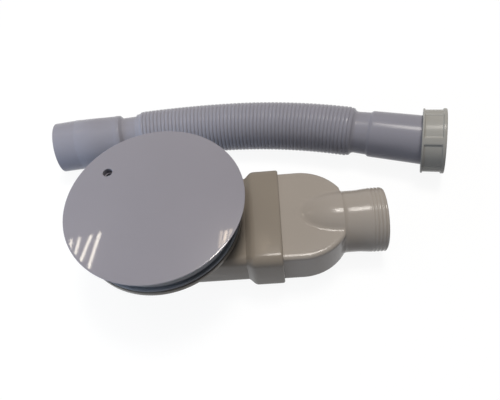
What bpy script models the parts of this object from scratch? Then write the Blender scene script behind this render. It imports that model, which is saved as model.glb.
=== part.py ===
"""Low shower tray trap with a round dome cover, a flat outlet box and a flexible waste pipe.

Metres, +Z up. The origin is on the table, under the middle of the cover. The outlet runs
along +X, and the flexible pipe lies behind the trap, on the +Y side.
"""
import math

import bmesh
import bpy
from mathutils import Euler, Matrix, Vector

MM = 0.001
GAP = 0.3 * MM                        # clearance between pieces that touch
CUT_PAST = 1.0 * MM                   # how far a cutter reaches past the face it opens
FACE_OFFSET = 0.01 * MM               # keeps two joined solids from sharing a face

# Pot and flange of the trap body
MOUTH_RADIUS = 35.5 * MM
MOUTH_DEPTH = 8.0 * MM
POT_WALL = 2.5 * MM
POT_FLOOR = 2.5 * MM
WAIST_SET_BACK = 0.6 * MM             # the waist is this much narrower than the mouth
WAIST_Z = 16.0 * MM
FOOT_SET_BACK = 8.5 * MM
FOOT_CHAMFER_OUT = 2.4 * MM
FOOT_CHAMFER_UP = 0.9 * MM
FOOT_CURVE_OUT = 4.0 * MM
FOOT_CURVE_UP = 3.4 * MM
FLANGE_WIDTH = 16.0 * MM
FLANGE_THICKNESS = 3.4 * MM
FLANGE_TOP_Z = 42.5 * MM
SMALL_CHAMFER = 0.4 * MM

# Flat duct from the pot to the outlet box
DUCT_HALF_WIDTH = 32.7 * MM
DUCT_BOTTOM_Z = 9.8 * MM
DUCT_HEIGHT = 27.5 * MM
DUCT_WALL = 2.5 * MM
DUCT_EDGE_ROUND = 3.0 * MM
WEIR_Z = 27.5 * MM
WEIR_HALF_WIDTH = 24.0 * MM
DUCT_LENGTH = 1.6 * MM                # from the flange's rim to the socket
SOCKET_LENGTH = 22.7 * MM
SOCKET_WALL = 3.0 * MM
SOCKET_SHOULDER = 4.2 * MM
SOCKET_CHAMFER = 1.2 * MM

# Outlet box and threaded spigot
BOX_DEPTH_IN_SOCKET = 15.9 * MM
BOX_STRAIGHT_LENGTH = 12.2 * MM       # from the socket to where the box's round end starts
BOX_WALL = 2.4 * MM
SPIGOT_AXIS_Z = 22.45 * MM
SPIGOT_RADIUS = 20.15 * MM
SPIGOT_BORE = 17.6 * MM
SPIGOT_LENGTH = 27.8 * MM
SPIGOT_NOSE_LENGTH = 37.6 * MM
SPIGOT_NOSE_REACH = 27.0 * MM         # from the start of the round end to the nose's full width
SPIGOT_SHROUD = 0.45 * MM
SPIGOT_SHROUD_LENGTH = 0.6 * MM
THREAD_RADIUS = 20.95 * MM
THREAD_LENGTH = 11.5 * MM
THREAD_RUN_OUT = 5.0 * MM
THREAD_CHAMFER = 1.0 * MM

# Clamping flange, gaskets and screws
GASKET_THICKNESS = 2.0 * MM
GASKET_SET_BACK = 0.6 * MM
CLAMP_SET_BACK = 1.9 * MM
CLAMP_THICKNESS = 3.5 * MM
CLAMP_DISH = 1.0 * MM
CLAMP_CHAMFER = 0.6 * MM
CLAMP_THROAT_CHAMFER = 1.2 * MM
COLLAR_WALL = 2.2 * MM
COLLAR_LIP = 1.8 * MM
COLLAR_LENGTH = 6.7 * MM              # below the flange's top
SCREW_COUNT = 4
SCREW_FROM_MOUTH = 5.5 * MM
SCREW_RADIUS = 2.0 * MM
SCREW_TIP_CHAMFER = 0.5 * MM
SCREW_HEAD_RADIUS = 3.6 * MM
SCREW_HEAD_DEPTH = 2.2 * MM
SCREW_HEAD_EDGE = 0.3 * MM
RECESS_LENGTH = 4.0 * MM
RECESS_WIDTH = 0.8 * MM
RECESS_DEPTH = 1.2 * MM
INSERT_RADIUS = 3.0 * MM
INSERT_HEIGHT = 4.2 * MM
BOSS_RADIUS = 4.8 * MM

# Lift-out cup, its seal ring and the hair strainer
CUP_RIM_HEIGHT = 9.4 * MM
CUP_WALL = 1.8 * MM
CUP_CORNER = 2.0 * MM
DIP_TUBE_SET_BACK = 13.5 * MM         # inside the pot's mouth
DIP_TUBE_BOTTOM_Z = 6.8 * MM
SEAL_CORD_RADIUS = 1.1 * MM
SEAL_GROOVE_HEIGHT = 3.7 * MM         # above the cup's underside
STRAINER_THICKNESS = 1.8 * MM
STRAINER_LEDGE_HEIGHT = 6.2 * MM
STRAINER_SLOT_COUNT = 12
STRAINER_SLOT_WIDTH = 2.4 * MM
STRAINER_SLOT_INNER = 7.0 * MM
STRAINER_SLOT_EDGE = 2.3 * MM
PEG_COUNT = 4
PEG_SET_BACK = 7.8 * MM               # inside the strainer's edge
PEG_RADIUS = 2.5 * MM
PEG_LENGTH = 7.5 * MM
PEG_CHAMFER = 0.5 * MM
SOCKET_TUBE_WALL = 1.4 * MM
SOCKET_TUBE_HEIGHT = 8.4 * MM

# Cover
COVER_OVERHANG = 4.5 * MM             # past the flange's rim
COVER_EDGE_Z = 63.0 * MM
COVER_EDGE_HEIGHT = 3.0 * MM
COVER_DOME = 2.2 * MM
COVER_WALL = 2.2 * MM
COVER_EDGE_ROUND = 1.1 * MM
COVER_HOLE_RADIUS = 3.0 * MM
COVER_HOLE_SET_BACK = 16.6 * MM       # inside the cover's edge
COVER_HOLE_ANGLE = math.radians(143)

# Flexible pipe: lengths along its middle line, from the plain end to the nut
PIPE_START = Vector((-91.6 * MM, 87.4 * MM, 20.05 * MM))
PIPE_HEADING = math.radians(6.25)
PIPE_START_PITCH = math.radians(-1.2)
PIPE_END_PITCH = math.radians(2.4)
PLAIN_END_LENGTH = 50.5 * MM
PLAIN_END_RADIUS = 19.85 * MM
PLAIN_END_TAPER = 2.3 * MM
PLAIN_END_CHAMFER = 0.7 * MM
FIRST_NECK_LENGTH = 13.0 * MM
SECOND_NECK_LENGTH = 11.0 * MM
NECK_RADIUS = 15.2 * MM
SHOULDER_LENGTH = 1.6 * MM
SHOULDER_ROUND = 1.2 * MM
RIDGE_COUNT = 56
RIDGE_PITCH = 2.85 * MM
RIDGE_RADIUS = 18.1 * MM
RIDGE_DEPTH = 1.15 * MM
BEND_START = 53.5 * MM
BEND_LENGTH = 165.0 * MM
BEND_RADII = (513.0 * MM, 325.0 * MM)
CUFF_LENGTH = 42.7 * MM
CUFF_RADIUS = 16.8 * MM
CUFF_FLARE = 0.7 * MM
PIPE_WALL = 1.4 * MM
PIPE_STEP = 2.0 * MM                  # step along the middle line
COLLAR_RADIUS = 19.2 * MM
COLLAR_THICKNESS = 2.2 * MM

# Coupling nut and its washer: the nut hangs loose, a little askew on the cuff
NUT_REAR = Vector((180.51 * MM, 62.70 * MM, 22.96 * MM))
NUT_HEADING = math.radians(-13.9)
NUT_PITCH = math.radians(7.6)
NUT_LENGTH = 16.0 * MM
NUT_RADIUS = 23.05 * MM
NUT_RECESS = 0.8 * MM
NUT_RECESS_SLOPE = 0.4 * MM
NUT_BACK_RIM = 1.3 * MM
NUT_FRONT_RIM = 2.3 * MM
NUT_CHAMFER = 0.6 * MM
NUT_LIP = 3.0 * MM
NUT_LIP_PLAY = 0.9 * MM               # round the cuff, so that the nut can tilt and slide
NUT_THREAD_PLAY = 0.95 * MM           # plain bore inside the spigot's crests
NUT_RIBS = 6
NUT_RIB_WIDTH = 5.0 * MM
NUT_RIB_HEIGHT = 0.65 * MM
NUT_RIB_ANGLE = math.radians(12)
WASHER_THICKNESS = 2.4 * MM
WASHER_WIDTH = 3.9 * MM

# Sides of the turned pieces
COVER_SIDE_COUNT = 60
BODY_SIDE_COUNT = 40
SPIGOT_SIDE_COUNT = 32
RING_SIDE_COUNT = 30
SMALL_SIDE_COUNT = 12
PIPE_SIDE_COUNT = 18
NUT_SIDE_COUNT = 36
BOX_ARC_STEPS = 20

DUCT_TOP_Z = DUCT_BOTTOM_Z + DUCT_HEIGHT
FLANGE_RADIUS = MOUTH_RADIUS + FLANGE_WIDTH
FLANGE_BOTTOM_Z = FLANGE_TOP_Z - FLANGE_THICKNESS
SCREW_CIRCLE_RADIUS = MOUTH_RADIUS + SCREW_FROM_MOUTH
LOWER_GASKET_Z = FLANGE_TOP_Z + GAP
UPPER_GASKET_Z = LOWER_GASKET_Z + GASKET_THICKNESS + GAP
CLAMP_BOTTOM_Z = UPPER_GASKET_Z + GASKET_THICKNESS + GAP
CLAMP_TOP_Z = CLAMP_BOTTOM_Z + CLAMP_THICKNESS
CLAMP_RADIUS = FLANGE_RADIUS - CLAMP_SET_BACK
SCREW_TOP_Z = CLAMP_TOP_Z - CLAMP_DISH - GAP
COLLAR_BOTTOM_Z = FLANGE_TOP_Z - COLLAR_LENGTH
COLLAR_OUTER_RADIUS = MOUTH_RADIUS - GAP
CLAMP_BORE = COLLAR_OUTER_RADIUS - COLLAR_WALL
CUP_RADIUS = CLAMP_BORE - 2 * GAP
CUP_BOTTOM_Z = COLLAR_BOTTOM_Z + COLLAR_WALL + GAP
CUP_TOP_Z = CUP_BOTTOM_Z + CUP_RIM_HEIGHT
DIP_TUBE_RADIUS = MOUTH_RADIUS - DIP_TUBE_SET_BACK
SEAL_GROOVE_Z = CUP_BOTTOM_Z + SEAL_GROOVE_HEIGHT
STRAINER_LEDGE_Z = CUP_BOTTOM_Z + STRAINER_LEDGE_HEIGHT
STRAINER_Z = STRAINER_LEDGE_Z + GAP
STRAINER_TOP_Z = STRAINER_Z + STRAINER_THICKNESS
STRAINER_RADIUS = CUP_RADIUS - CUP_WALL - GAP
PEG_CIRCLE_RADIUS = STRAINER_RADIUS - PEG_SET_BACK
SOCKET_TUBE_RADIUS = PEG_RADIUS + GAP + SOCKET_TUBE_WALL
SOCKET_TUBE_TOP_Z = STRAINER_TOP_Z + SOCKET_TUBE_HEIGHT
COVER_RADIUS = FLANGE_RADIUS + COVER_OVERHANG
SOCKET_START_X = FLANGE_RADIUS + DUCT_LENGTH
SOCKET_END_X = SOCKET_START_X + SOCKET_LENGTH
BOX_START_X = SOCKET_END_X - BOX_DEPTH_IN_SOCKET
BOX_ROUND_END_X = SOCKET_END_X + BOX_STRAIGHT_LENGTH
SOCKET_STOP_X = BOX_START_X - GAP
SPIGOT_NOSE_X = BOX_ROUND_END_X + SPIGOT_NOSE_REACH
SPIGOT_END_X = SPIGOT_NOSE_X + SPIGOT_LENGTH
NUT_BORE = THREAD_RADIUS - NUT_THREAD_PLAY


def start_empty():
    """Removes every object, mesh and material from the scene."""
    for item in list(bpy.data.objects):
        bpy.data.objects.remove(item, do_unlink=True)
    for item in list(bpy.data.meshes):
        bpy.data.meshes.remove(item)
    for item in list(bpy.data.materials):
        bpy.data.materials.remove(item)


def material(name, colour, roughness, metallic=0.0):
    """A plain surface colour, written as linear red, green and blue."""
    made = bpy.data.materials.new(name)
    made.use_nodes = True
    surface = made.node_tree.nodes["Principled BSDF"]
    surface.inputs["Base Color"].default_value = (*colour, 1.0)
    surface.inputs["Roughness"].default_value = roughness
    surface.inputs["Metallic"].default_value = metallic
    return made


def add_object(name, bm, surface=None):
    """Turns the edit mesh into a smooth-shaded object with its faces pointing out."""
    bmesh.ops.remove_doubles(bm, verts=bm.verts, dist=1e-6)
    bmesh.ops.recalc_face_normals(bm, faces=bm.faces)
    mesh = bpy.data.meshes.new(name)
    bm.to_mesh(mesh)
    bm.free()
    mesh.shade_smooth()
    mesh.set_sharp_from_angle(angle=math.radians(32))
    made = bpy.data.objects.new(name, mesh)
    bpy.context.collection.objects.link(made)
    if surface:
        mesh.materials.append(surface)
    return made


def turned(name, profile, sides, surface=None):
    """Spins a closed outline of (radius, height) points once around Z."""
    bm = bmesh.new()
    points = [bm.verts.new((radius, 0.0, height)) for radius, height in profile]
    edges = [bm.edges.new((a, b)) for a, b in zip(points, points[1:] + points[:1])]
    axis_edges = [e for e in edges if all(abs(v.co.x) < 1e-9 for v in e.verts)]
    spun = [e for e in edges if e not in axis_edges]
    bmesh.ops.spin(bm, geom=points + spun, cent=(0, 0, 0), axis=(0, 0, 1), dvec=(0, 0, 0),
                   angle=math.tau, steps=sides, use_merge=True, use_duplicate=False)
    bmesh.ops.delete(bm, geom=[e for e in bm.edges if not e.link_faces], context="EDGES")
    return add_object(name, bm, surface)


def upright(name, outline, bottom, top, surface=None, round_edges=0.0):
    """Raises a flat outline from one height to another, with rounded rims if asked."""
    bm = bmesh.new()
    face = bm.faces.new([bm.verts.new((x, y, bottom)) for x, y in outline])
    raised = bmesh.ops.extrude_face_region(bm, geom=[face])["geom"]
    lifted = [item for item in raised if isinstance(item, bmesh.types.BMVert)]
    bmesh.ops.translate(bm, verts=lifted, vec=(0, 0, top - bottom))
    if round_edges:
        rims = [e for e in bm.edges if abs(e.verts[0].co.z - e.verts[1].co.z) < 1e-7]
        bmesh.ops.bevel(bm, geom=rims, offset=round_edges, segments=3, profile=0.5,
                        affect="EDGES", clamp_overlap=True)
    return add_object(name, bm, surface)


def cylinder(name, radius, start, end, sides, surface=None):
    """A round bar between two points."""
    start, end = Vector(start), Vector(end)
    along = end - start
    bm = bmesh.new()
    bmesh.ops.create_cone(bm, cap_ends=True, segments=sides, radius1=radius, radius2=radius,
                          depth=along.length)
    turn = along.to_track_quat("Z", "Y").to_matrix().to_4x4()
    bmesh.ops.transform(bm, matrix=Matrix.Translation((start + end) / 2) @ turn, verts=bm.verts)
    return add_object(name, bm, surface)


def combine(target, other, operation):
    """Joins or cuts two solids with an exact Boolean and removes the second one."""
    step = target.modifiers.new(operation.lower(), "BOOLEAN")
    step.operation = operation
    step.solver = "EXACT"
    step.object = other
    bpy.context.view_layer.update()
    graph = bpy.context.evaluated_depsgraph_get()
    result = bpy.data.meshes.new_from_object(target.evaluated_get(graph))
    target.modifiers.clear()
    used = target.data
    target.data = result
    bpy.data.meshes.remove(used)
    bpy.data.objects.remove(other, do_unlink=True)
    result.name = target.name
    result.shade_smooth()
    result.set_sharp_from_angle(angle=math.radians(32))


def add(target, *others):
    for other in others:
        combine(target, other, "UNION")


def cut(target, *others):
    for other in others:
        combine(target, other, "DIFFERENCE")


def around(count, radius, first_angle=0.0):
    """Evenly spaced points on a circle about Z."""
    turns = [first_angle + math.tau * step / count for step in range(count)]
    return [(radius * math.cos(turn), radius * math.sin(turn)) for turn in turns]


def arc(centre, radius, first, last, steps):
    """Points on an arc, both ends included."""
    turns = [first + (last - first) * step / steps for step in range(steps + 1)]
    return [(centre[0] + radius * math.cos(t), centre[1] + radius * math.sin(t)) for t in turns]


def screw_places():
    return around(SCREW_COUNT, SCREW_CIRCLE_RADIUS, math.pi / SCREW_COUNT)


def peg_places():
    return around(PEG_COUNT, PEG_CIRCLE_RADIUS)


def pot_profile():
    """Radius and height of the pot's outer wall, from the foot up to the mouth."""
    foot = MOUTH_RADIUS - FOOT_SET_BACK
    return [
        (foot, 0),
        (foot + FOOT_CHAMFER_OUT, FOOT_CHAMFER_UP),
        (foot + FOOT_CURVE_OUT, FOOT_CURVE_UP),
        (MOUTH_RADIUS - WAIST_SET_BACK, WAIST_Z),
        (MOUTH_RADIUS + POT_WALL, FLANGE_TOP_Z - MOUTH_DEPTH),
    ]


def pot_solid():
    """The pot's outer form with the flange on top, as one solid turning."""
    return turned("trap_body", [(0, 0)] + pot_profile() + [
        (MOUTH_RADIUS + POT_WALL, FLANGE_BOTTOM_Z),
        (FLANGE_RADIUS - SMALL_CHAMFER, FLANGE_BOTTOM_Z),
        (FLANGE_RADIUS, FLANGE_BOTTOM_Z + SMALL_CHAMFER),
        (FLANGE_RADIUS, FLANGE_TOP_Z - SMALL_CHAMFER),
        (FLANGE_RADIUS - SMALL_CHAMFER, FLANGE_TOP_Z),
        (0, FLANGE_TOP_Z),
    ], BODY_SIDE_COUNT)


def pot_inside():
    foot, _, curve, waist, mouth = pot_profile()
    return turned("pot_inside", [
        (0, POT_FLOOR),
        (foot[0] - SMALL_CHAMFER, POT_FLOOR),
        (curve[0] - POT_WALL, POT_FLOOR + 0.5 * curve[1]),
        (waist[0] - POT_WALL, waist[1]),
        (MOUTH_RADIUS, mouth[1]),
        (MOUTH_RADIUS, FLANGE_TOP_Z + CUT_PAST),
        (0, FLANGE_TOP_Z + CUT_PAST),
    ], BODY_SIDE_COUNT)


def rounded_section(half_width, bottom, top, rounding, x, steps=3):
    """A rounded rectangle across the duct, at one place along X."""
    corners = [
        (half_width - rounding, top - rounding, 0.0),
        (-half_width + rounding, top - rounding, 0.5 * math.pi),
        (-half_width + rounding, bottom + rounding, math.pi),
        (half_width - rounding, bottom + rounding, 1.5 * math.pi),
    ]
    points = []
    for y, z, first in corners:
        points += arc((y, z), rounding, first, first + 0.5 * math.pi, steps)
    return [Vector((x, y, z)) for y, z in points]


def lofted(name, sections, surface=None):
    """Skins a row of cross-sections with the same number of points, and caps both ends."""
    bm = bmesh.new()
    rings = [[bm.verts.new(point) for point in section] for section in sections]
    for near, far in zip(rings, rings[1:]):
        for index in range(len(near)):
            after = (index + 1) % len(near)
            bm.faces.new((near[index], near[after], far[after], far[index]))
    bm.faces.new(rings[0])
    bm.faces.new(rings[-1])
    return add_object(name, bm, surface)


def duct_section(grow, x):
    """The duct's outline at one place, grown evenly on all sides."""
    return rounded_section(DUCT_HALF_WIDTH + grow, DUCT_BOTTOM_Z - grow, DUCT_TOP_Z + grow,
                           DUCT_EDGE_ROUND + grow, x)


def socket_band():
    """The wider collar at the duct's end, with a sloped shoulder towards the pot."""
    grow = SOCKET_WALL + GAP
    chamfer = SOCKET_CHAMFER
    return lofted("socket_band", [
        duct_section(FACE_OFFSET, SOCKET_START_X),
        duct_section(grow - chamfer, SOCKET_START_X + SOCKET_SHOULDER - chamfer),
        duct_section(grow, SOCKET_START_X + SOCKET_SHOULDER + chamfer),
        duct_section(grow, SOCKET_END_X - chamfer),
        duct_section(grow - chamfer, SOCKET_END_X),
    ])


def duct_inside():
    """The water way beside the pot: its inner end follows the pot's wall."""
    half = DUCT_HALF_WIDTH - DUCT_WALL
    wall_radius = MOUTH_RADIUS + POT_WALL + SMALL_CHAMFER
    angle = math.asin(half / wall_radius)
    outline = arc((0, 0), wall_radius, angle, -angle, 12)
    outline += [(SOCKET_STOP_X + CUT_PAST, -half), (SOCKET_STOP_X + CUT_PAST, half)]
    return upright("duct_inside", outline, DUCT_BOTTOM_Z + DUCT_WALL, DUCT_TOP_Z - DUCT_WALL)


def trap_body(surface):
    body = pot_solid()
    add(body, lofted("duct", [duct_section(0, 0), duct_section(0, SOCKET_START_X + CUT_PAST)]),
        socket_band())
    for x, y in screw_places():
        add(body, cylinder("boss", BOSS_RADIUS, (x, y, DUCT_TOP_Z - CUT_PAST),
                           (x, y, FLANGE_BOTTOM_Z + CUT_PAST), SMALL_SIDE_COUNT))
    cut(body, pot_inside(), duct_inside())
    past_wall = MOUTH_RADIUS + POT_WALL + DUCT_WALL
    cut(body, upright("window", [
        (0, -WEIR_HALF_WIDTH), (past_wall, -WEIR_HALF_WIDTH),
        (past_wall, WEIR_HALF_WIDTH), (0, WEIR_HALF_WIDTH),
    ], WEIR_Z, DUCT_TOP_Z - DUCT_WALL - GAP))
    cut(body, lofted("socket_inside", [
        duct_section(GAP, SOCKET_STOP_X), duct_section(GAP, SOCKET_END_X + CUT_PAST)]))
    for x, y in screw_places():
        bottom = FLANGE_TOP_Z - INSERT_HEIGHT - 2 * GAP
        cut(body, cylinder("insert_hole", INSERT_RADIUS + GAP, (x, y, bottom),
                           (x, y, FLANGE_TOP_Z + CUT_PAST), SMALL_SIDE_COUNT))
    body.data.materials.clear()
    body.data.materials.append(surface)
    return body


def box_outline(start, half_width):
    """The outlet box in plan: straight sides and a half-round end."""
    outline = [(start, -half_width)]
    outline += arc((BOX_ROUND_END_X, 0), half_width, -0.5 * math.pi, 0.5 * math.pi,
                   BOX_ARC_STEPS)
    return outline + [(start, half_width)]


def along_x(item, x, z):
    """Turns a piece made about Z so that it lies along +X at a height."""
    turn = Matrix.Translation((x, 0, z)) @ Euler((0, math.radians(90), 0)).to_matrix().to_4x4()
    item.data.transform(turn)
    return item


def nose_curve(radius, length):
    """Points from the nose's tip to the full radius, where the nose runs out on the flat box."""
    steps = 8
    turns = [math.radians(-90 + 90 * step / steps) for step in range(steps + 1)]
    return [(radius * math.cos(turn), length * math.sin(turn)) for turn in turns[1:]]


def spigot_solid():
    """The domed nose and the threaded spigot, as one solid turning along +X."""
    shroud = SPIGOT_RADIUS + SPIGOT_SHROUD
    end = SPIGOT_LENGTH
    chamfer = THREAD_CHAMFER
    return along_x(turned("spigot", [(0, -SPIGOT_NOSE_LENGTH)] + nose_curve(
        shroud, SPIGOT_NOSE_LENGTH) + [
        (shroud, SPIGOT_SHROUD_LENGTH),
        (SPIGOT_RADIUS, SPIGOT_SHROUD_LENGTH + SPIGOT_SHROUD),
        (SPIGOT_RADIUS, end - THREAD_LENGTH - THREAD_RUN_OUT),
        (THREAD_RADIUS, end - THREAD_LENGTH),
        (THREAD_RADIUS, end - chamfer),
        (THREAD_RADIUS - chamfer, end),
        (0, end),
    ], SPIGOT_SIDE_COUNT), SPIGOT_NOSE_X, SPIGOT_AXIS_Z)


def spigot_inside():
    """The spigot's bore, with the nose's hollow behind it."""
    length = SPIGOT_NOSE_LENGTH - BOX_WALL
    past_end = SPIGOT_LENGTH + CUT_PAST
    return along_x(turned("bore", [(0, -length)] + nose_curve(SPIGOT_BORE, length) + [
        (SPIGOT_BORE, past_end), (0, past_end)], SPIGOT_SIDE_COUNT),
        SPIGOT_NOSE_X, SPIGOT_AXIS_Z)


def outlet_adaptor(surface):
    adaptor = upright("outlet_adaptor", box_outline(BOX_START_X, DUCT_HALF_WIDTH),
                      DUCT_BOTTOM_Z, DUCT_TOP_Z, None, DUCT_EDGE_ROUND)
    add(adaptor, spigot_solid())
    cut(adaptor, upright("box_inside", box_outline(
        BOX_START_X - CUT_PAST, DUCT_HALF_WIDTH - BOX_WALL),
        DUCT_BOTTOM_Z + BOX_WALL, DUCT_TOP_Z - BOX_WALL))
    cut(adaptor, spigot_inside())
    adaptor.data.materials.clear()
    adaptor.data.materials.append(surface)
    return adaptor


def gasket(name, outer, bottom, surface):
    ring = turned(name, [
        (MOUTH_RADIUS, bottom),
        (outer, bottom),
        (outer, bottom + GASKET_THICKNESS),
        (MOUTH_RADIUS, bottom + GASKET_THICKNESS),
    ], RING_SIDE_COUNT, surface)
    for x, y in screw_places():
        cut(ring, cylinder("hole", SCREW_RADIUS + 2 * GAP, (x, y, bottom - CUT_PAST),
                           (x, y, bottom + GASKET_THICKNESS + CUT_PAST), SMALL_SIDE_COUNT))
    return ring


def clamp_flange(surface):
    """The upper flange: a dished ring with a collar that reaches down into the pot's mouth."""
    lip_radius = CLAMP_BORE - COLLAR_LIP
    lip_top = COLLAR_BOTTOM_Z + COLLAR_WALL
    throat = CLAMP_THROAT_CHAMFER
    ring = turned("upper_flange", [
        (CLAMP_BORE, lip_top),
        (lip_radius, lip_top),
        (lip_radius, COLLAR_BOTTOM_Z),
        (COLLAR_OUTER_RADIUS, COLLAR_BOTTOM_Z),
        (COLLAR_OUTER_RADIUS, CLAMP_BOTTOM_Z),
        (CLAMP_RADIUS, CLAMP_BOTTOM_Z),
        (CLAMP_RADIUS, CLAMP_TOP_Z - CLAMP_CHAMFER),
        (CLAMP_RADIUS - CLAMP_CHAMFER, CLAMP_TOP_Z),
        (CLAMP_BORE + throat, CLAMP_TOP_Z - CLAMP_DISH),
        (CLAMP_BORE, CLAMP_TOP_Z - CLAMP_DISH - throat),
    ], RING_SIDE_COUNT, surface)
    shank = SCREW_RADIUS + GAP
    head = SCREW_HEAD_RADIUS + GAP
    for x, y in screw_places():
        hole = turned("screw_hole", [
            (0, CLAMP_BOTTOM_Z - CUT_PAST),
            (shank, CLAMP_BOTTOM_Z - CUT_PAST),
            (shank, SCREW_TOP_Z - SCREW_HEAD_DEPTH),
            (head, SCREW_TOP_Z - GAP),
            (head, CLAMP_TOP_Z + CUT_PAST),
            (0, CLAMP_TOP_Z + CUT_PAST),
        ], SMALL_SIDE_COUNT)
        hole.data.transform(Matrix.Translation((x, y, 0)))
        cut(ring, hole)
    return ring


def box_piece(name, size, centre, turn):
    """A plain block turned about Z and then placed."""
    bm = bmesh.new()
    bmesh.ops.create_cube(bm, size=1.0)
    bmesh.ops.scale(bm, vec=size, verts=bm.verts)
    bmesh.ops.rotate(bm, cent=(0, 0, 0), verts=bm.verts, matrix=Matrix.Rotation(turn, 3, "Z"))
    bmesh.ops.translate(bm, verts=bm.verts, vec=centre)
    return add_object(name, bm)


def flange_screw(number, place, surface):
    """A countersunk screw with a cross recess, from the upper flange into its insert."""
    tip = FLANGE_TOP_Z - INSERT_HEIGHT
    screw = turned(f"flange_screw_{number}", [
        (0, tip),
        (SCREW_RADIUS - SCREW_TIP_CHAMFER, tip),
        (SCREW_RADIUS, tip + SCREW_TIP_CHAMFER),
        (SCREW_RADIUS, SCREW_TOP_Z - SCREW_HEAD_DEPTH),
        (SCREW_HEAD_RADIUS, SCREW_TOP_Z - SCREW_HEAD_EDGE),
        (SCREW_HEAD_RADIUS, SCREW_TOP_Z),
        (0, SCREW_TOP_Z),
    ], SMALL_SIDE_COUNT, surface)
    for turn in (0.0, 0.5 * math.pi):
        cut(screw, box_piece("recess", (RECESS_LENGTH, RECESS_WIDTH, 2 * RECESS_DEPTH),
                             (0, 0, SCREW_TOP_Z), turn))
    screw.location = (*place, 0)
    return screw


def brass_insert(number, place, surface):
    bottom = FLANGE_TOP_Z - INSERT_HEIGHT - GAP
    insert = turned(f"brass_insert_{number}", [
        (SCREW_RADIUS + GAP, bottom), (INSERT_RADIUS, bottom),
        (INSERT_RADIUS, bottom + INSERT_HEIGHT), (SCREW_RADIUS + GAP, bottom + INSERT_HEIGHT),
    ], SMALL_SIDE_COUNT, surface)
    insert.location = (*place, 0)
    return insert


def dip_cup(surface):
    """The lift-out cup: a grooved rim, a shallow basin and a tube that dips into the water."""
    groove_half = SEAL_CORD_RADIUS + GAP
    groove_radius = CUP_RADIUS - 2 * SEAL_CORD_RADIUS
    basin_radius = groove_radius - CUP_WALL
    bore = DIP_TUBE_RADIUS - CUP_WALL
    floor = CUP_BOTTOM_Z + CUP_WALL
    return turned("dip_cup", [
        (bore, DIP_TUBE_BOTTOM_Z),
        (DIP_TUBE_RADIUS, DIP_TUBE_BOTTOM_Z),
        (DIP_TUBE_RADIUS, CUP_BOTTOM_Z - CUP_CORNER),
        (DIP_TUBE_RADIUS + CUP_CORNER, CUP_BOTTOM_Z),
        (CUP_RADIUS, CUP_BOTTOM_Z),
        (CUP_RADIUS, SEAL_GROOVE_Z - groove_half),
        (groove_radius, SEAL_GROOVE_Z - groove_half),
        (groove_radius, SEAL_GROOVE_Z + groove_half),
        (CUP_RADIUS, SEAL_GROOVE_Z + groove_half),
        (CUP_RADIUS, CUP_TOP_Z),
        (CUP_RADIUS - CUP_WALL, CUP_TOP_Z),
        (CUP_RADIUS - CUP_WALL, STRAINER_LEDGE_Z),
        (basin_radius, STRAINER_LEDGE_Z),
        (basin_radius, floor + CUP_CORNER),
        (basin_radius - CUP_CORNER, floor),
        (bore + CUP_CORNER, floor),
        (bore, floor - CUP_CORNER),
    ], RING_SIDE_COUNT, surface)


def cup_seal(surface):
    """The rubber ring in the cup's groove, standing a little proud of the rim."""
    middle = CUP_RADIUS - SEAL_CORD_RADIUS + GAP
    section = arc((middle, SEAL_GROOVE_Z), SEAL_CORD_RADIUS, 0, math.tau * 5 / 6, 5)
    return turned("cup_seal", section, RING_SIDE_COUNT, surface)


def hair_strainer(surface):
    """A slotted disc with four tubes that hold the cover's pegs."""
    disc = turned("hair_strainer", [
        (0, STRAINER_Z),
        (STRAINER_RADIUS, STRAINER_Z),
        (STRAINER_RADIUS, STRAINER_TOP_Z),
        (0, STRAINER_TOP_Z),
    ], RING_SIDE_COUNT, surface)
    for x, y in peg_places():
        add(disc, cylinder("tube", SOCKET_TUBE_RADIUS,
                           (x, y, STRAINER_Z + 0.5 * STRAINER_THICKNESS),
                           (x, y, SOCKET_TUBE_TOP_Z), SMALL_SIDE_COUNT))
    for x, y in peg_places():
        cut(disc, cylinder("tube_bore", PEG_RADIUS + GAP, (x, y, STRAINER_Z - CUT_PAST),
                           (x, y, SOCKET_TUBE_TOP_Z + CUT_PAST), SMALL_SIDE_COUNT))
    slot_outer = PEG_CIRCLE_RADIUS - SOCKET_TUBE_RADIUS - STRAINER_SLOT_EDGE
    middle = (STRAINER_SLOT_INNER + slot_outer) / 2
    size = (slot_outer - STRAINER_SLOT_INNER, STRAINER_SLOT_WIDTH, 4 * STRAINER_THICKNESS)
    for step in range(STRAINER_SLOT_COUNT):
        turn = math.tau * (step + 0.5) / STRAINER_SLOT_COUNT
        place = (middle * math.cos(turn), middle * math.sin(turn), STRAINER_Z)
        cut(disc, box_piece("slot", size, place, turn))
    return disc


def dome_height(radius):
    """Height of the cover's top surface at a distance from its middle."""
    share = min(radius / COVER_RADIUS, 1.0)
    return COVER_EDGE_Z + COVER_DOME * (1.0 - share ** 2)


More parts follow.
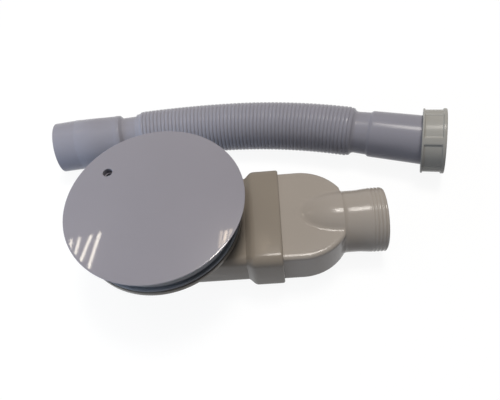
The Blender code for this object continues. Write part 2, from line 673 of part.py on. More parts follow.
def cover(surface):
    """A shallow dome with a turned-down rim, four pegs and one finger hole."""
    inner = COVER_RADIUS - COVER_WALL
    rings = 4
    top = [(COVER_RADIUS * step / rings, dome_height(COVER_RADIUS * step / rings))
           for step in range(rings)]
    edge = arc((COVER_RADIUS - COVER_EDGE_ROUND, COVER_EDGE_Z - COVER_EDGE_ROUND),
               COVER_EDGE_ROUND, math.radians(85), 0, 3)
    low = COVER_EDGE_Z - COVER_EDGE_HEIGHT
    rim = [(COVER_RADIUS, low + SMALL_CHAMFER), (COVER_RADIUS - SMALL_CHAMFER, low), (inner, low)]
    under = [(inner * step / 2, dome_height(inner * step / 2) - COVER_WALL)
             for step in (2, 1, 0)]
    shell = turned("cover", top + edge + rim + under, COVER_SIDE_COUNT, surface)
    shoulder = SOCKET_TUBE_TOP_Z + GAP
    root = dome_height(PEG_CIRCLE_RADIUS) - 0.5 * COVER_WALL
    for x, y in peg_places():
        peg = turned("peg", [
            (0, shoulder - PEG_LENGTH),
            (PEG_RADIUS - PEG_CHAMFER, shoulder - PEG_LENGTH),
            (PEG_RADIUS, shoulder - PEG_LENGTH + PEG_CHAMFER),
            (PEG_RADIUS, shoulder),
            (SOCKET_TUBE_RADIUS, shoulder),
            (SOCKET_TUBE_RADIUS, root),
            (0, root),
        ], SMALL_SIDE_COUNT)
        peg.data.transform(Matrix.Translation((x, y, 0)))
        add(shell, peg)
    from_centre = COVER_RADIUS - COVER_HOLE_SET_BACK
    x, y = from_centre * math.cos(COVER_HOLE_ANGLE), from_centre * math.sin(COVER_HOLE_ANGLE)
    cut(shell, cylinder("hole", COVER_HOLE_RADIUS, (x, y, low),
                        (x, y, COVER_EDGE_Z + COVER_DOME + CUT_PAST), 2 * SMALL_SIDE_COUNT))
    shell.data.materials.clear()
    shell.data.materials.append(surface)
    return shell


def ridge_zone():
    """Start and end of the corrugated stretch along the pipe, with a pitch for its two ends."""
    start = PLAIN_END_LENGTH + FIRST_NECK_LENGTH
    return start, start + (RIDGE_COUNT + 2) * RIDGE_PITCH


def pipe_length():
    return ridge_zone()[1] + SECOND_NECK_LENGTH + CUFF_LENGTH + COLLAR_THICKNESS


def pipe_direction(distance):
    """The way the pipe points: straight ends, and a slack and a tighter bend between them."""
    into = min(max(distance - BEND_START, 0.0), BEND_LENGTH)
    half = BEND_LENGTH / 2
    turn = min(into, half) / BEND_RADII[0] + max(into - half, 0.0) / BEND_RADII[1]
    pitch = PIPE_START_PITCH + (PIPE_END_PITCH - PIPE_START_PITCH) * into / BEND_LENGTH
    return direction(PIPE_HEADING - turn, pitch)


def pipe_point(distance):
    """The pipe's middle line, followed in short steps from the plain end."""
    steps = max(1, round(distance / PIPE_STEP))
    step = distance / steps
    place = PIPE_START.copy()
    for index in range(steps):
        place += pipe_direction((index + 0.5) * step) * step
    return place


def direction(heading, pitch):
    return Vector((math.cos(heading) * math.cos(pitch), math.sin(heading) * math.cos(pitch),
                   math.sin(pitch)))


def frame_along(place, along):
    """A frame at a place, with Z along a direction and Y pointing up."""
    side = Vector((0, 0, 1)).cross(along).normalized()
    up = along.cross(side)
    turn = Matrix((side, up, along)).transposed().to_4x4()
    return Matrix.Translation(place) @ turn


def pipe_matrix(distance):
    return frame_along(pipe_point(distance), pipe_direction(distance))


def pipe_outside():
    """The pipe's outer profile as (distance, radius) points."""
    first, last = ridge_zone()
    length = pipe_length()
    root = RIDGE_RADIUS - RIDGE_DEPTH
    collar = length - COLLAR_THICKNESS
    taper_end = PLAIN_END_RADIUS - PLAIN_END_TAPER
    points = [
        (0, PLAIN_END_RADIUS - PLAIN_END_CHAMFER),
        (PLAIN_END_CHAMFER, PLAIN_END_RADIUS),
        (PLAIN_END_LENGTH - SHOULDER_ROUND, taper_end),
        (PLAIN_END_LENGTH, taper_end - 0.5 * SHOULDER_ROUND),
        (PLAIN_END_LENGTH + SHOULDER_LENGTH, NECK_RADIUS),
        (first, NECK_RADIUS),
        (first + 0.5 * RIDGE_PITCH, NECK_RADIUS + SHOULDER_ROUND),
    ]
    for ridge in range(RIDGE_COUNT):
        crest = first + (ridge + 1.25) * RIDGE_PITCH
        points.append((crest, RIDGE_RADIUS))
        if ridge < RIDGE_COUNT - 1:
            points.append((crest + 0.5 * RIDGE_PITCH, root))
    cuff = last + SECOND_NECK_LENGTH
    return points + [
        (last - 0.3 * RIDGE_PITCH, NECK_RADIUS + SHOULDER_ROUND),
        (last, NECK_RADIUS),
        (cuff, NECK_RADIUS),
        (cuff + SHOULDER_LENGTH, CUFF_RADIUS),
        (collar, CUFF_RADIUS + CUFF_FLARE),
        (collar, COLLAR_RADIUS),
        (length, COLLAR_RADIUS),
    ]


def pipe_inside():
    """The pipe's bore, from the nut end back to the plain end."""
    first, last = ridge_zone()
    root = RIDGE_RADIUS - RIDGE_DEPTH - PIPE_WALL
    neck = NECK_RADIUS - PIPE_WALL
    cuff = last + SECOND_NECK_LENGTH
    rings = 8
    middle = [(last + (first - last) * (ring + 0.5) / rings, root) for ring in range(rings)]
    return [
        (pipe_length(), CUFF_RADIUS + CUFF_FLARE - PIPE_WALL),
        (cuff + SHOULDER_LENGTH, CUFF_RADIUS - PIPE_WALL),
        (cuff, neck),
        (last, neck),
    ] + middle + [
        (first, neck),
        (PLAIN_END_LENGTH + SHOULDER_LENGTH, neck),
        (PLAIN_END_LENGTH, PLAIN_END_RADIUS - PLAIN_END_TAPER - PIPE_WALL),
        (0, PLAIN_END_RADIUS - PIPE_WALL),
    ]


def flexible_pipe(surface):
    """One blown pipe: plain end, corrugated stretch, and a flared cuff with a collar."""
    bm = bmesh.new()
    origin = Matrix.Translation(-PIPE_START)
    rings = []
    for distance, radius in pipe_outside() + pipe_inside():
        frame = origin @ pipe_matrix(distance)
        rings.append([bm.verts.new(frame @ Vector((x, y, 0)))
                      for x, y in around(PIPE_SIDE_COUNT, radius)])
    for near, far in zip(rings, rings[1:] + rings[:1]):
        for index in range(PIPE_SIDE_COUNT):
            after = (index + 1) % PIPE_SIDE_COUNT
            bm.faces.new((near[index], near[after], far[after], far[index]))
    pipe = add_object("flexible_pipe", bm, surface)
    pipe.location = PIPE_START
    return pipe


def coupling_nut(surface):
    """The captive nut on the cuff: rims, gripping ribs and a lip behind the pipe's collar."""
    barrel = NUT_RADIUS - NUT_RECESS
    lip_bore = CUFF_RADIUS + CUFF_FLARE + NUT_LIP_PLAY
    front = NUT_LENGTH - NUT_FRONT_RIM
    nut = turned("coupling_nut", [
        (lip_bore, 0),
        (NUT_RADIUS - NUT_CHAMFER, 0),
        (NUT_RADIUS, NUT_CHAMFER),
        (NUT_RADIUS, NUT_BACK_RIM),
        (barrel, NUT_BACK_RIM + NUT_RECESS_SLOPE),
        (barrel, front - NUT_RECESS_SLOPE),
        (NUT_RADIUS, front),
        (NUT_RADIUS, NUT_LENGTH - NUT_CHAMFER),
        (NUT_RADIUS - NUT_CHAMFER, NUT_LENGTH),
        (NUT_BORE, NUT_LENGTH),
        (NUT_BORE, NUT_LIP),
        (lip_bore, NUT_LIP),
    ], NUT_SIDE_COUNT, surface)
    centre = (NUT_BACK_RIM + front) / 2
    size = (2 * NUT_RIB_HEIGHT, NUT_RIB_WIDTH, front - NUT_BACK_RIM + NUT_RECESS_SLOPE)
    for x, y in around(NUT_RIBS, barrel, NUT_RIB_ANGLE):
        add(nut, box_piece("rib", size, (x, y, centre), math.atan2(y, x)))
    nut.data.materials.clear()
    nut.data.materials.append(surface)
    nut.matrix_world = frame_along(NUT_REAR, direction(NUT_HEADING, NUT_PITCH))
    return nut


def coupling_washer(surface):
    """The flat rubber washer against the pipe's collar, inside the nut."""
    outer = COLLAR_RADIUS - GAP
    washer = turned("coupling_washer", [
        (outer - WASHER_WIDTH, 0), (outer, 0), (outer, WASHER_THICKNESS),
        (outer - WASHER_WIDTH, WASHER_THICKNESS)], PIPE_SIDE_COUNT, surface)
    washer.matrix_world = pipe_matrix(pipe_length() + GAP)
    return washer


def build():
    start_empty()
    lilac = material("lilac_grey_plastic", (0.33, 0.32, 0.37), 0.22)
    warm = material("warm_grey_plastic", (0.36, 0.33, 0.29), 0.25)
    grey = material("grey_plastic", (0.30, 0.30, 0.31), 0.35)
    rubber = material("black_rubber", (0.015, 0.015, 0.015), 0.7)
    steel = material("stainless_steel", (0.55, 0.55, 0.56), 0.3, 1.0)
    brass = material("brass", (0.60, 0.42, 0.16), 0.35, 1.0)
    trap_body(warm)
    outlet_adaptor(warm)
    gasket("lower_gasket", FLANGE_RADIUS - GASKET_SET_BACK, LOWER_GASKET_Z, rubber)
    gasket("upper_gasket", CLAMP_RADIUS - GASKET_SET_BACK, UPPER_GASKET_Z, rubber)
    clamp_flange(grey)
    for number, place in enumerate(screw_places(), 1):
        brass_insert(number, place, brass)
        flange_screw(number, place, steel)
    dip_cup(grey)
    cup_seal(rubber)
    hair_strainer(grey)
    cover(lilac)
    flexible_pipe(lilac)
    coupling_nut(warm)
    coupling_washer(rubber)


build()
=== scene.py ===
"""Shower tray trap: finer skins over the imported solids, moulded plastics, floor, light, camera.

Metres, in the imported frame. The origin is on the floor under the middle of the cover, the
outlet runs along +X, the flexible pipe lies behind the trap on the +Y side, and +Z is up.
"""
import math

import bmesh
import bpy
import numpy as np
from mathutils import Matrix, Vector


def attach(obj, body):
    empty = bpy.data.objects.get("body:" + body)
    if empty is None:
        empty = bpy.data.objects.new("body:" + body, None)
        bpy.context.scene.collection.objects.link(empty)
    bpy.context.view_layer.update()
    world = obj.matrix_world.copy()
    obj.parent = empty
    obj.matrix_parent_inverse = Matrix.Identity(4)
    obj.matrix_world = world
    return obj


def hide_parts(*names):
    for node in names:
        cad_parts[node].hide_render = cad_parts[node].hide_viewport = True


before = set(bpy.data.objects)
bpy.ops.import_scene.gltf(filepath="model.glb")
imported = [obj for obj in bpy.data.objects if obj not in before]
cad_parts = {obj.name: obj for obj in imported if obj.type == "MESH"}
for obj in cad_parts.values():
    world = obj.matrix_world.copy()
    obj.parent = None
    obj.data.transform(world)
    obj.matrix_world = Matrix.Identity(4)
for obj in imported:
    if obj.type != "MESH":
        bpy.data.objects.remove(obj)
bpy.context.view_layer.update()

MM = 0.001

# Clearance between neighbours, and how far a cutter reaches past what it cuts
GAP = 0.3 * MM
CUT_PAST = 1.0 * MM

# Skins join points closer than WELD and drop edges shorter than TINY_EDGE. One rounding takes
# at most CORNER_SHARE of a side, and a corner nearly as open as a straight line is left alone.
WELD = 1e-7
TINY_EDGE = 1e-8
CORNER_SHARE = 0.48
STRAIGHT = math.pi - 0.01

# Noise fields, in cells a metre, heights of the reliefs that they drive, and the wide range
# that takes in nearly all of a field
WIDE = (0.15, 0.85)
CLOUD_SCALE = 26.0
PIPE_CLOUD_SCALE = 34.0
RUBBED_SCALE = 60.0
RIPPLE_SCALE = 90.0
RIPPLE_HEIGHT = 0.4 * MM
PLASTIC_GRAIN_SCALE = 1900.0
PLASTIC_GRAIN_HEIGHT = 0.02 * MM
BLOOM_SCALE = 150.0
RUBBER_GRAIN_SCALE = 2600.0
RUBBER_GRAIN_HEIGHT = 0.05 * MM
TARNISH_SCALE = 220.0
TOOL_LINE_SCALE = 900.0
TOOL_LINE_HEIGHT = 0.03 * MM
PLASTIC_IOR = 1.46

# Pot, flange and duct
MOUTH_RADIUS = 35.5 * MM
POT_WALL = 2.5 * MM
POT_FLOOR_Z = 2.5 * MM
POT_SHOULDER_Z = 34.5 * MM
FLANGE_RADIUS = 51.5 * MM
FLANGE_TOP_Z = 42.5 * MM
FLANGE_BOTTOM_Z = 39.1 * MM
BOSS_RADIUS = 4.8 * MM
INSERT_HOLE_RADIUS = 3.3 * MM
INSERT_HOLE_Z = (37.7 * MM, 43.5 * MM)
WEIR_SIZE = (24.0 * MM, 48.0 * MM, 7.0 * MM)
WEIR_CENTRE = (29.5 * MM, 0, 31.0 * MM)
WEIR_ROUND = 1.5 * MM
DUCT_HALF_WIDTH = 32.7 * MM
DUCT_BOTTOM_Z = 9.8 * MM
DUCT_TOP_Z = 37.3 * MM
DUCT_EDGE_ROUND = 3.0 * MM
DUCT_OUTER_ROUND = 5.0 * MM
DUCT_INSIDE_X = 38.4 * MM
DUCT_WALL = 2.5 * MM

# Socket collar: its growth over the duct in mm, with the way from its start or to its end
SOCKET_START_X = 53.1 * MM
SOCKET_END_X = 75.8 * MM
SOCKET_GROW = 3.3 * MM
SOCKET_OUTER_ROUND = 6.4 * MM
SOCKET_SHOULDER = ((0.02, 0.0), (0.8, 1.1), (2.1, 2.7), (2.65, 3.5), (3.0, 4.3), (3.2, 5.1),
                   (3.28, 5.8), (3.3, 6.6))
SOCKET_REAR = ((3.3, 1.6), (3.24, 1.0), (3.04, 0.45), (2.72, 0.12), (2.3, 0.0))

# Outlet adaptor's flat box
BOX_START_X = 59.9 * MM
BOX_ROUND_END_X = 88.0 * MM
BOX_WALL = 2.4 * MM
BOX_EDGE_ROUND = 2.1 * MM
BOX_INNER_ROUND = 0.8 * MM
BOX_BEVEL = 0.3 * MM

# Spigot; the profile is (X, radius) in mm, from the nose to the rounded end of the thread
SPIGOT_AXIS_Z = 22.45 * MM
SPIGOT_RADIUS = 20.15 * MM
SPIGOT_BORE = 17.6 * MM
SPIGOT_NOSE_X = 115.0 * MM
SPIGOT_NOSE_LENGTH = 37.6 * MM
SPIGOT_SHROUD = 0.45 * MM
SPIGOT_PROFILE = ((115.6, 20.60), (115.9, 20.45), (116.1, 20.15), (125.5, 20.15),
                  (133.8, 20.95), (141.8, 20.95), (142.8, 19.95))
SPIGOT_END_RADII = (19.75 * MM, 19.3 * MM)
NOSE_BLEND = 1.2 * MM
INNER_BLEND = 1.0 * MM
SEARCH_RADIUS = 60.0 * MM
SEARCH_STEPS = 32
THREAD_START_X = 132.6 * MM
THREAD_RUN_OUT = 1.8 * MM
THREAD_PITCH = 2.309 * MM
THREAD_DEPTH = 0.3 * MM

# Gaskets, as (outer radius, height of the underside), and clamping flange
LOWER_GASKET = (50.9 * MM, 42.8 * MM)
UPPER_GASKET = (49.0 * MM, 45.1 * MM)
GASKET_THICKNESS = 2.0 * MM
GASKET_HOLE_RADIUS = 2.6 * MM
CLAMP_BOTTOM_Z = 47.4 * MM
CLAMP_TOP_Z = 50.9 * MM
CLAMP_RADIUS = 49.6 * MM
CLAMP_BORE = 33.0 * MM
CLAMP_SEAT_Z = 38.0 * MM
CLAMP_SEAT_BORE = 31.2 * MM
CLAMP_SLEEVE_Z = 35.8 * MM

# Screws and inserts
SCREW_CIRCLE_RADIUS = 41.0 * MM
SCREW_TOP_Z = 49.6 * MM
SCREW_TIP_Z = 38.3 * MM
SCREW_RADIUS = 2.0 * MM
SCREW_HEAD_RADIUS = 3.6 * MM
SCREW_HEAD_DEPTH = 2.2 * MM
SCREW_HOLE_RADIUS = 2.3 * MM
SCREW_HEAD_HOLE_RADIUS = 3.9 * MM
RECESS_SIZE = (4.0 * MM, 0.8 * MM, 2.4 * MM)
RECESS_ROUND = 0.2 * MM
RECESS_ANGLE = 0.2
INSERT_Z = (38.0 * MM, 42.2 * MM)
INSERT_BORE = 2.3 * MM
INSERT_RADIUS = 3.0 * MM
INSERT_EDGE_RADIUS = 2.9 * MM
INSERT_GROOVE_RADIUS = 2.8 * MM
INSERT_GROOVES = 5

# Cup and its ring
CUP_RADIUS = 32.4 * MM
CUP_BOTTOM_Z = 38.3 * MM
CUP_TOP_Z = 47.7 * MM
CUP_WALL = 1.8 * MM
DIP_TUBE_RADIUS = 22.0 * MM
DIP_TUBE_LOW_Z = 6.8 * MM
SEAL_GROOVE_Z = (40.6 * MM, 43.4 * MM)
SEAL_GROOVE_DEPTH = 2.2 * MM
SEAL_Z = 42.0 * MM
SEAL_CORD_RADIUS = 1.1 * MM
SEAL_SUNK = 0.8 * MM

# Strainer
STRAINER_Z = 44.8 * MM
STRAINER_TOP_Z = 46.6 * MM
STRAINER_RADIUS = 30.3 * MM
SLOTS_ROUND = 12
SLOT_SIZE = (9.0 * MM, 2.4 * MM, 7.0 * MM)
SLOT_CIRCLE_RADIUS = 11.5 * MM
SLOT_ROUND = 1.0 * MM
PEG_CIRCLE_RADIUS = 22.5 * MM
TUBE_RADIUS = 4.2 * MM
TUBE_TOP_Z = 55.0 * MM
TUBE_BORE = 2.8 * MM
TUBE_MOUTH_BORE = 3.3 * MM

# Cover, its pegs and its finger hole with the ledge inside
COVER_RADIUS = 56.0 * MM
COVER_EDGE_Z = 63.0 * MM
COVER_LOW_Z = 60.0 * MM
COVER_EDGE_DRAW = 1.3 * MM
COVER_DOME = 2.2 * MM
COVER_WALL = 2.2 * MM
COVER_SHARP = 40
PEG_RADIUS = 2.5 * MM
PEG_LENGTH = 7.5 * MM
HOLE_RADIUS = 3.0 * MM
HOLE_FROM_CENTRE = 39.4 * MM
HOLE_ANGLE = math.radians(143)
HOLE_SLEEVE_LENGTH = 5.2 * MM
HOLE_SLEEVE_WALL = 1.2 * MM
HOLE_LEDGE_DEPTH = 4.0 * MM
HOLE_LOW_RADIUS = 2.2 * MM

# Flexible pipe, measured along its middle line. The first groove lies RIDGE_FIRST pitches past
# RIDGES_FROM, and a higher RIDGE_SHAPE makes the grooves narrower.
PIPE_START = np.array((-91.6, 87.4, 20.05)) * MM
PIPE_HEADING = math.radians(6.25)
PIPE_PITCHES = (math.radians(-1.2), math.radians(2.4))
PIPE_LENGTH = 284.7 * MM
PIPE_WALL = 1.4 * MM
PIPE_SIDES = 72
PATH_STEP = 0.5 * MM
PATH_SPARE = 16.0 * MM
BEND_START = 53.5 * MM
BEND_LENGTH = 165.0 * MM
BEND_RADII = (513.0 * MM, 325.0 * MM)
PLAIN_END = 50.5 * MM
PLAIN_RADIUS = 19.85 * MM
PLAIN_TAPER = 2.3 * MM
NECK_RADIUS = 15.2 * MM
RIDGES_FROM = 63.5 * MM
RIDGES_TO = 228.8 * MM
RIDGE_COUNT = 57
RIDGE_PITCH = 2.85 * MM
RIDGE_FIRST = 0.75
RIDGE_RADIUS = 18.1 * MM
RIDGE_DEPTH = 0.56 * MM
RIDGE_SHAPE = 4.5
RIDGE_END_ROUND = 5.5 * MM
RIDGE_END_DROP = 1.6 * MM
CUFF_FROM = 239.8 * MM
CUFF_RADIUS = 16.8 * MM
CUFF_FLARE = 0.7 * MM
COLLAR_RADIUS = 19.2 * MM
COLLAR_THICKNESS = 2.2 * MM
WASHER_BORE = 15.0 * MM
WASHER_RADIUS = 18.9 * MM
WASHER_THICKNESS = 2.4 * MM

# Coupling nut, loose and a little askew on the cuff; its ribs fill a share of the recess
NUT_REAR = np.array((180.51, 62.70, 22.96)) * MM
NUT_HEADING = math.radians(-13.9)
NUT_PITCH = math.radians(7.6)
NUT_LENGTH = 16.0 * MM
NUT_RADIUS = 23.05 * MM
NUT_RECESS = 0.95 * MM
NUT_BACK_RIM = 1.3 * MM
NUT_FRONT_RIM = 2.3 * MM
NUT_EDGE_ROUND = 0.7 * MM
NUT_LIP_BORE = 18.4 * MM
NUT_BORE = 20.0 * MM
NUT_RIBS = 6
NUT_RIB_SHARE = 0.92
NUT_RIB_HALF_WIDTH = 2.5 * MM
NUT_RIB_ANGLE = math.radians(12)
NUT_THREAD_DEPTH = 1.0 * MM

# Floor and world; the glow is the share of plain white mixed into the floor where it is seen
FLOOR_HALF = 3.0
FLOOR_DROP = 0.05 * MM
FLOOR_GLOW = 0.92
FLOOR_SEEN = (0.90, 0.90, 0.90)
FLOOR_UNSEEN = (0.50, 0.51, 0.55)
ROOM_COLOUR = (0.72, 0.84, 1.0)
ROOM_STRENGTH = 0.12

# Soft lamps, as (name, place, target, size, watts, colour, shown in reflections)
SOFT_LAMPS = (
    ("ceiling_panel", (0.215, 0.30, 1.45), (0.215, 0.03, 0.03), (0.33, 0.36), 13.5,
     (1.0, 0.95, 0.89), True),
    ("ceiling_glow", (0.10, 0.10, 1.7), (0.05, 0.03, 0.03), (1.0, 1.0), 12.0,
     (1.0, 0.99, 0.97), False),
    ("window_left", (-0.50, -0.12, 0.19), (-0.05, 0.05, 0.02), (0.30, 0.30), 2.5,
     (0.64, 0.79, 1.0), False),
)

# Strip lamps that draw the streaks on the cover, as (start, end, watts, colour)
STRIP_WIDTH = 0.016
CREAM = (1.0, 0.92, 0.78)
AMBER = (1.0, 0.82, 0.62)
STRIPS = (
    ((-0.654, 0.651, 1.251), (-0.710, 0.442, 1.310), 0.36, CREAM),
    ((-0.697, 0.638, 1.237), (-0.749, 0.492, 1.273), 0.25, CREAM),
    ((-0.754, 0.625, 1.214), (-0.776, 0.530, 1.244), 0.14, CREAM),
    ((-0.795, 0.617, 1.195), (-0.804, 0.555, 1.218), 0.09, CREAM),
    ((0.009, 0.649, 1.403), (-0.002, 0.552, 1.442), 0.07, AMBER),
    ((0.037, 0.654, 1.401), (0.020, 0.557, 1.441), 0.14, AMBER),
    ((0.065, 0.659, 1.398), (0.046, 0.579, 1.432), 0.07, AMBER),
)

# Camera, fitted to the photograph: place in mm, angles in radians, focal length in pixels
CAMERA_PLACE_MM = (77.72, -172.48, 308.55)
CAMERA_YAW, CAMERA_PITCH, CAMERA_ROLL = 0.1131, 0.9690, -0.1683
CAMERA_SENSOR_MM = 36.0
FOCAL_PX, WIDTH_PX = 502.15, 500.0


# Surfaces


def shader(name):
    """A new material, with its nodes, its links and its main shader."""
    made = bpy.data.materials.new(name)
    made.use_nodes = True
    nodes = made.node_tree.nodes
    return made, nodes, made.node_tree.links, nodes["Principled BSDF"]


def noise_at(nodes, links, scale, detail, stretch=(1, 1, 1)):
    """A noise field in the object's own coordinates."""
    place = nodes.new("ShaderNodeTexCoord")
    mapping = nodes.new("ShaderNodeMapping")
    mapping.inputs["Scale"].default_value = stretch
    field = nodes.new("ShaderNodeTexNoise")
    field.inputs["Scale"].default_value = scale
    field.inputs["Detail"].default_value = detail
    links.new(place.outputs["Object"], mapping.inputs["Vector"])
    links.new(mapping.outputs["Vector"], field.inputs["Vector"])
    return field.outputs["Fac"]


def between(nodes, links, value, low, high, from_low=0.3, from_high=0.7):
    """Maps a field to a range of numbers."""
    spread = nodes.new("ShaderNodeMapRange")
    spread.inputs["From Min"].default_value = from_low
    spread.inputs["From Max"].default_value = from_high
    spread.inputs["To Min"].default_value = low
    spread.inputs["To Max"].default_value = high
    links.new(value, spread.inputs["Value"])
    return spread.outputs["Result"]


def tinted(nodes, links, value, dark, light):
    """Blends two colours by a field."""
    blend = nodes.new("ShaderNodeMix")
    blend.data_type = "RGBA"
    blend.inputs["A"].default_value = (*dark, 1)
    blend.inputs["B"].default_value = (*light, 1)
    links.new(value, blend.inputs["Factor"])
    return blend.outputs["Result"]


def painted_shade_along_x(nodes, links, colour, from_x, to_x, share):
    """Paints shade along X: multiplies a colour by one at the first X and by the share at the
    second.
    """
    place = nodes.new("ShaderNodeTexCoord")
    parts = nodes.new("ShaderNodeSeparateXYZ")
    links.new(place.outputs["Object"], parts.inputs["Vector"])
    blend = nodes.new("ShaderNodeMix")
    blend.data_type = "RGBA"
    blend.blend_type = "MULTIPLY"
    links.new(between(nodes, links, parts.outputs["X"], 0.0, 1.0, from_x, to_x),
              blend.inputs["Factor"])
    links.new(colour, blend.inputs["A"])
    blend.inputs["B"].default_value = (share, share, share, 1)
    return blend.outputs["Result"]


def bumped(nodes, links, surface, fields):
    """Stacks fine reliefs, each (field, strength, height in metres), on a surface."""
    normal = None
    for field, strength, height in fields:
        bump = nodes.new("ShaderNodeBump")
        bump.inputs["Strength"].default_value = strength
        bump.inputs["Distance"].default_value = height
        links.new(field, bump.inputs["Height"])
        if normal:
            links.new(normal, bump.inputs["Normal"])
        normal = bump.outputs["Normal"]
    links.new(normal, surface.inputs["Normal"])


def moulded(name, colour, spread, roughness, cloud=CLOUD_SCALE, coat=0.0, relief=0.01,
            gloss=0.05, specular=0.18, wear=0.12, shade_fade=None):
    """Moulded plastic: faint flow clouds, uneven gloss and a soft ripple.

    A fade, as (from X, to X, share), darkens the colour slowly along the object as painted shade.
    """
    made, nodes, links, surface = shader(name)
    dark = tuple(part * (1 - spread) for part in colour)
    light = tuple(part * (1 + spread) for part in colour)
    clouds = between(nodes, links, noise_at(nodes, links, cloud, 4.0), 0.0, 1.0, *WIDE)
    shown = tinted(nodes, links, clouds, dark, light)
    # Painted shade: the colour darkens along X where the object falls darker
    if shade_fade:
        shown = painted_shade_along_x(nodes, links, shown, *shade_fade)
    links.new(shown, surface.inputs["Base Color"])
    rubbed = noise_at(nodes, links, RUBBED_SCALE, 3.0)
    links.new(between(nodes, links, rubbed, roughness * (1 - wear), roughness * (1 + wear),
                      *WIDE), surface.inputs["Roughness"])
    surface.inputs["Specular IOR Level"].default_value = specular
    surface.inputs["Coat Weight"].default_value = coat
    surface.inputs["Coat Roughness"].default_value = gloss
    surface.inputs["IOR"].default_value = PLASTIC_IOR
    bumped(nodes, links, surface, [
        (noise_at(nodes, links, RIPPLE_SCALE, 2.0), relief, RIPPLE_HEIGHT),
        (noise_at(nodes, links, PLASTIC_GRAIN_SCALE, 3.0), relief * 1.4, PLASTIC_GRAIN_HEIGHT),
    ])
    return made


def rubber_surface(name, dark, light):
    """Rubber: a pale bloom in patches and a fine grain."""
    made, nodes, links, surface = shader(name)
    bloom = between(nodes, links, noise_at(nodes, links, BLOOM_SCALE, 5.0), 0.0, 1.0)
    links.new(tinted(nodes, links, bloom, dark, light), surface.inputs["Base Color"])
    grain = noise_at(nodes, links, RUBBER_GRAIN_SCALE, 4.0)
    links.new(between(nodes, links, grain, 0.5, 0.78), surface.inputs["Roughness"])
    bumped(nodes, links, surface, [(grain, 0.3, RUBBER_GRAIN_HEIGHT)])
    return made


def metal_surface(name, dark, light, roughness, stretch):
    """Turned metal: fine tool lines and slight tarnish."""
    made, nodes, links, surface = shader(name)
    surface.inputs["Metallic"].default_value = 1.0
    tarnish = between(nodes, links, noise_at(nodes, links, TARNISH_SCALE, 5.0), 0.0, 1.0)
    links.new(tinted(nodes, links, tarnish, dark, light), surface.inputs["Base Color"])
    lines = noise_at(nodes, links, TOOL_LINE_SCALE, 3.0, stretch)
    links.new(between(nodes, links, lines, roughness * 0.7, roughness * 1.5),
              surface.inputs["Roughness"])
    bumped(nodes, links, surface, [(lines, 0.15, TOOL_LINE_HEIGHT)])
    return made


LILAC = moulded("lilac_plastic", (0.198, 0.187, 0.209), 0.03, 0.30, coat=0.5, relief=0.002,
                gloss=0.04)
# The pipe's colour darkens towards +X as painted shade, for less light on its right part
PIPE_LILAC = moulded("pipe_plastic", (0.232, 0.226, 0.256), 0.04, 0.20, PIPE_CLOUD_SCALE,
                     specular=0.14, shade_fade=(-20.0 * MM, 165.0 * MM, 0.88))
WARM = moulded("warm_plastic", (0.276, 0.246, 0.216), 0.03, 0.15)
NUT_WARM = moulded("nut_plastic", (0.276, 0.266, 0.243), 0.03, 0.18, specular=0.08)
BODY_WARM = moulded("body_plastic", (0.198, 0.171, 0.140), 0.04, 0.16)
GREY = moulded("grey_plastic", (0.17, 0.172, 0.18), 0.04, 0.34)
RUBBER = rubber_surface("rubber", (0.122, 0.128, 0.142), (0.152, 0.159, 0.176))
STEEL = metal_surface("steel", (0.42, 0.42, 0.43), (0.60, 0.60, 0.61), 0.28, (1, 1, 6))
BRASS = metal_surface("brass", (0.50, 0.34, 0.12), (0.66, 0.48, 0.20), 0.30, (1, 1, 6))


# Forms


def add(name, data):
    """A new object in the scene."""
    made = bpy.data.objects.new(name, data)
    bpy.context.scene.collection.objects.link(made)
    return made


def add_mesh(name, bm):
    """Turns finished mesh work into a new object."""
    mesh = bpy.data.meshes.new(name)
    bm.to_mesh(mesh)
    bm.free()
    return add(name, mesh)


def shade(mesh, sharp):
    """Smooth shading, broken at edges sharper than the angle in degrees."""
    mesh.shade_smooth()
    mesh.set_sharp_from_angle(angle=math.radians(sharp))


def full_turn(sides):
    """Angles of evenly spaced places round a circle."""
    return np.arange(sides) * math.tau / sides


def skin(name, rings, sharp=35):
    """Skins closed rings of points into one solid; the last ring joins the first."""
    rings = np.asarray(rings, float)
    count, sides, _ = rings.shape
    index = np.arange(count * sides).reshape(count, sides)
    after = np.roll(index, -1, axis=1)
    faces = np.stack([index, after, np.roll(after, -1, axis=0), np.roll(index, -1, axis=0)], -1)
    mesh = bpy.data.meshes.new(name)
    mesh.from_pydata(rings.reshape(-1, 3).tolist(), [], faces.reshape(-1, 4).tolist())
    bm = bmesh.new()
    bm.from_mesh(mesh)
    bmesh.ops.remove_doubles(bm, verts=bm.verts, dist=WELD)
    bmesh.ops.dissolve_degenerate(bm, edges=bm.edges, dist=TINY_EDGE)
    bmesh.ops.recalc_face_normals(bm, faces=bm.faces)
    bm.to_mesh(mesh)
    bm.free()
    shade(mesh, sharp)
    return add(name, mesh)


def rounded(points, steps=4):
    """Rounds the corners of a closed outline of (radius, height, rounding) points."""
    outline = []
    for index, (x, y, rounding) in enumerate(points):
        here = np.array((x, y))
        back = np.array(points[index - 1][:2]) - here
        ahead = np.array(points[(index + 1) % len(points)][:2]) - here
        back_length, ahead_length = np.linalg.norm(back), np.linalg.norm(ahead)
        back, ahead = back / back_length, ahead / ahead_length
        opening = math.acos(max(-1.0, min(1.0, float(back @ ahead))))
        if rounding <= 0 or opening > STRAIGHT:
            outline.append((x, y))
            continue
        reach = min(rounding / math.tan(opening / 2), CORNER_SHARE * back_length,
                    CORNER_SHARE * ahead_length)
        radius = reach * math.tan(opening / 2)
        middle = here + (back + ahead) / np.linalg.norm(back + ahead) * math.hypot(radius, reach)
        first, last = here + back * reach - middle, here + ahead * reach - middle
        sweep = math.pi - opening
        for step in range(steps + 1):
            share = step / steps
            mix = (math.sin((1 - share) * sweep) * first + math.sin(share * sweep) * last)
            outline.append(tuple(middle + mix / math.sin(sweep)))
    return outline


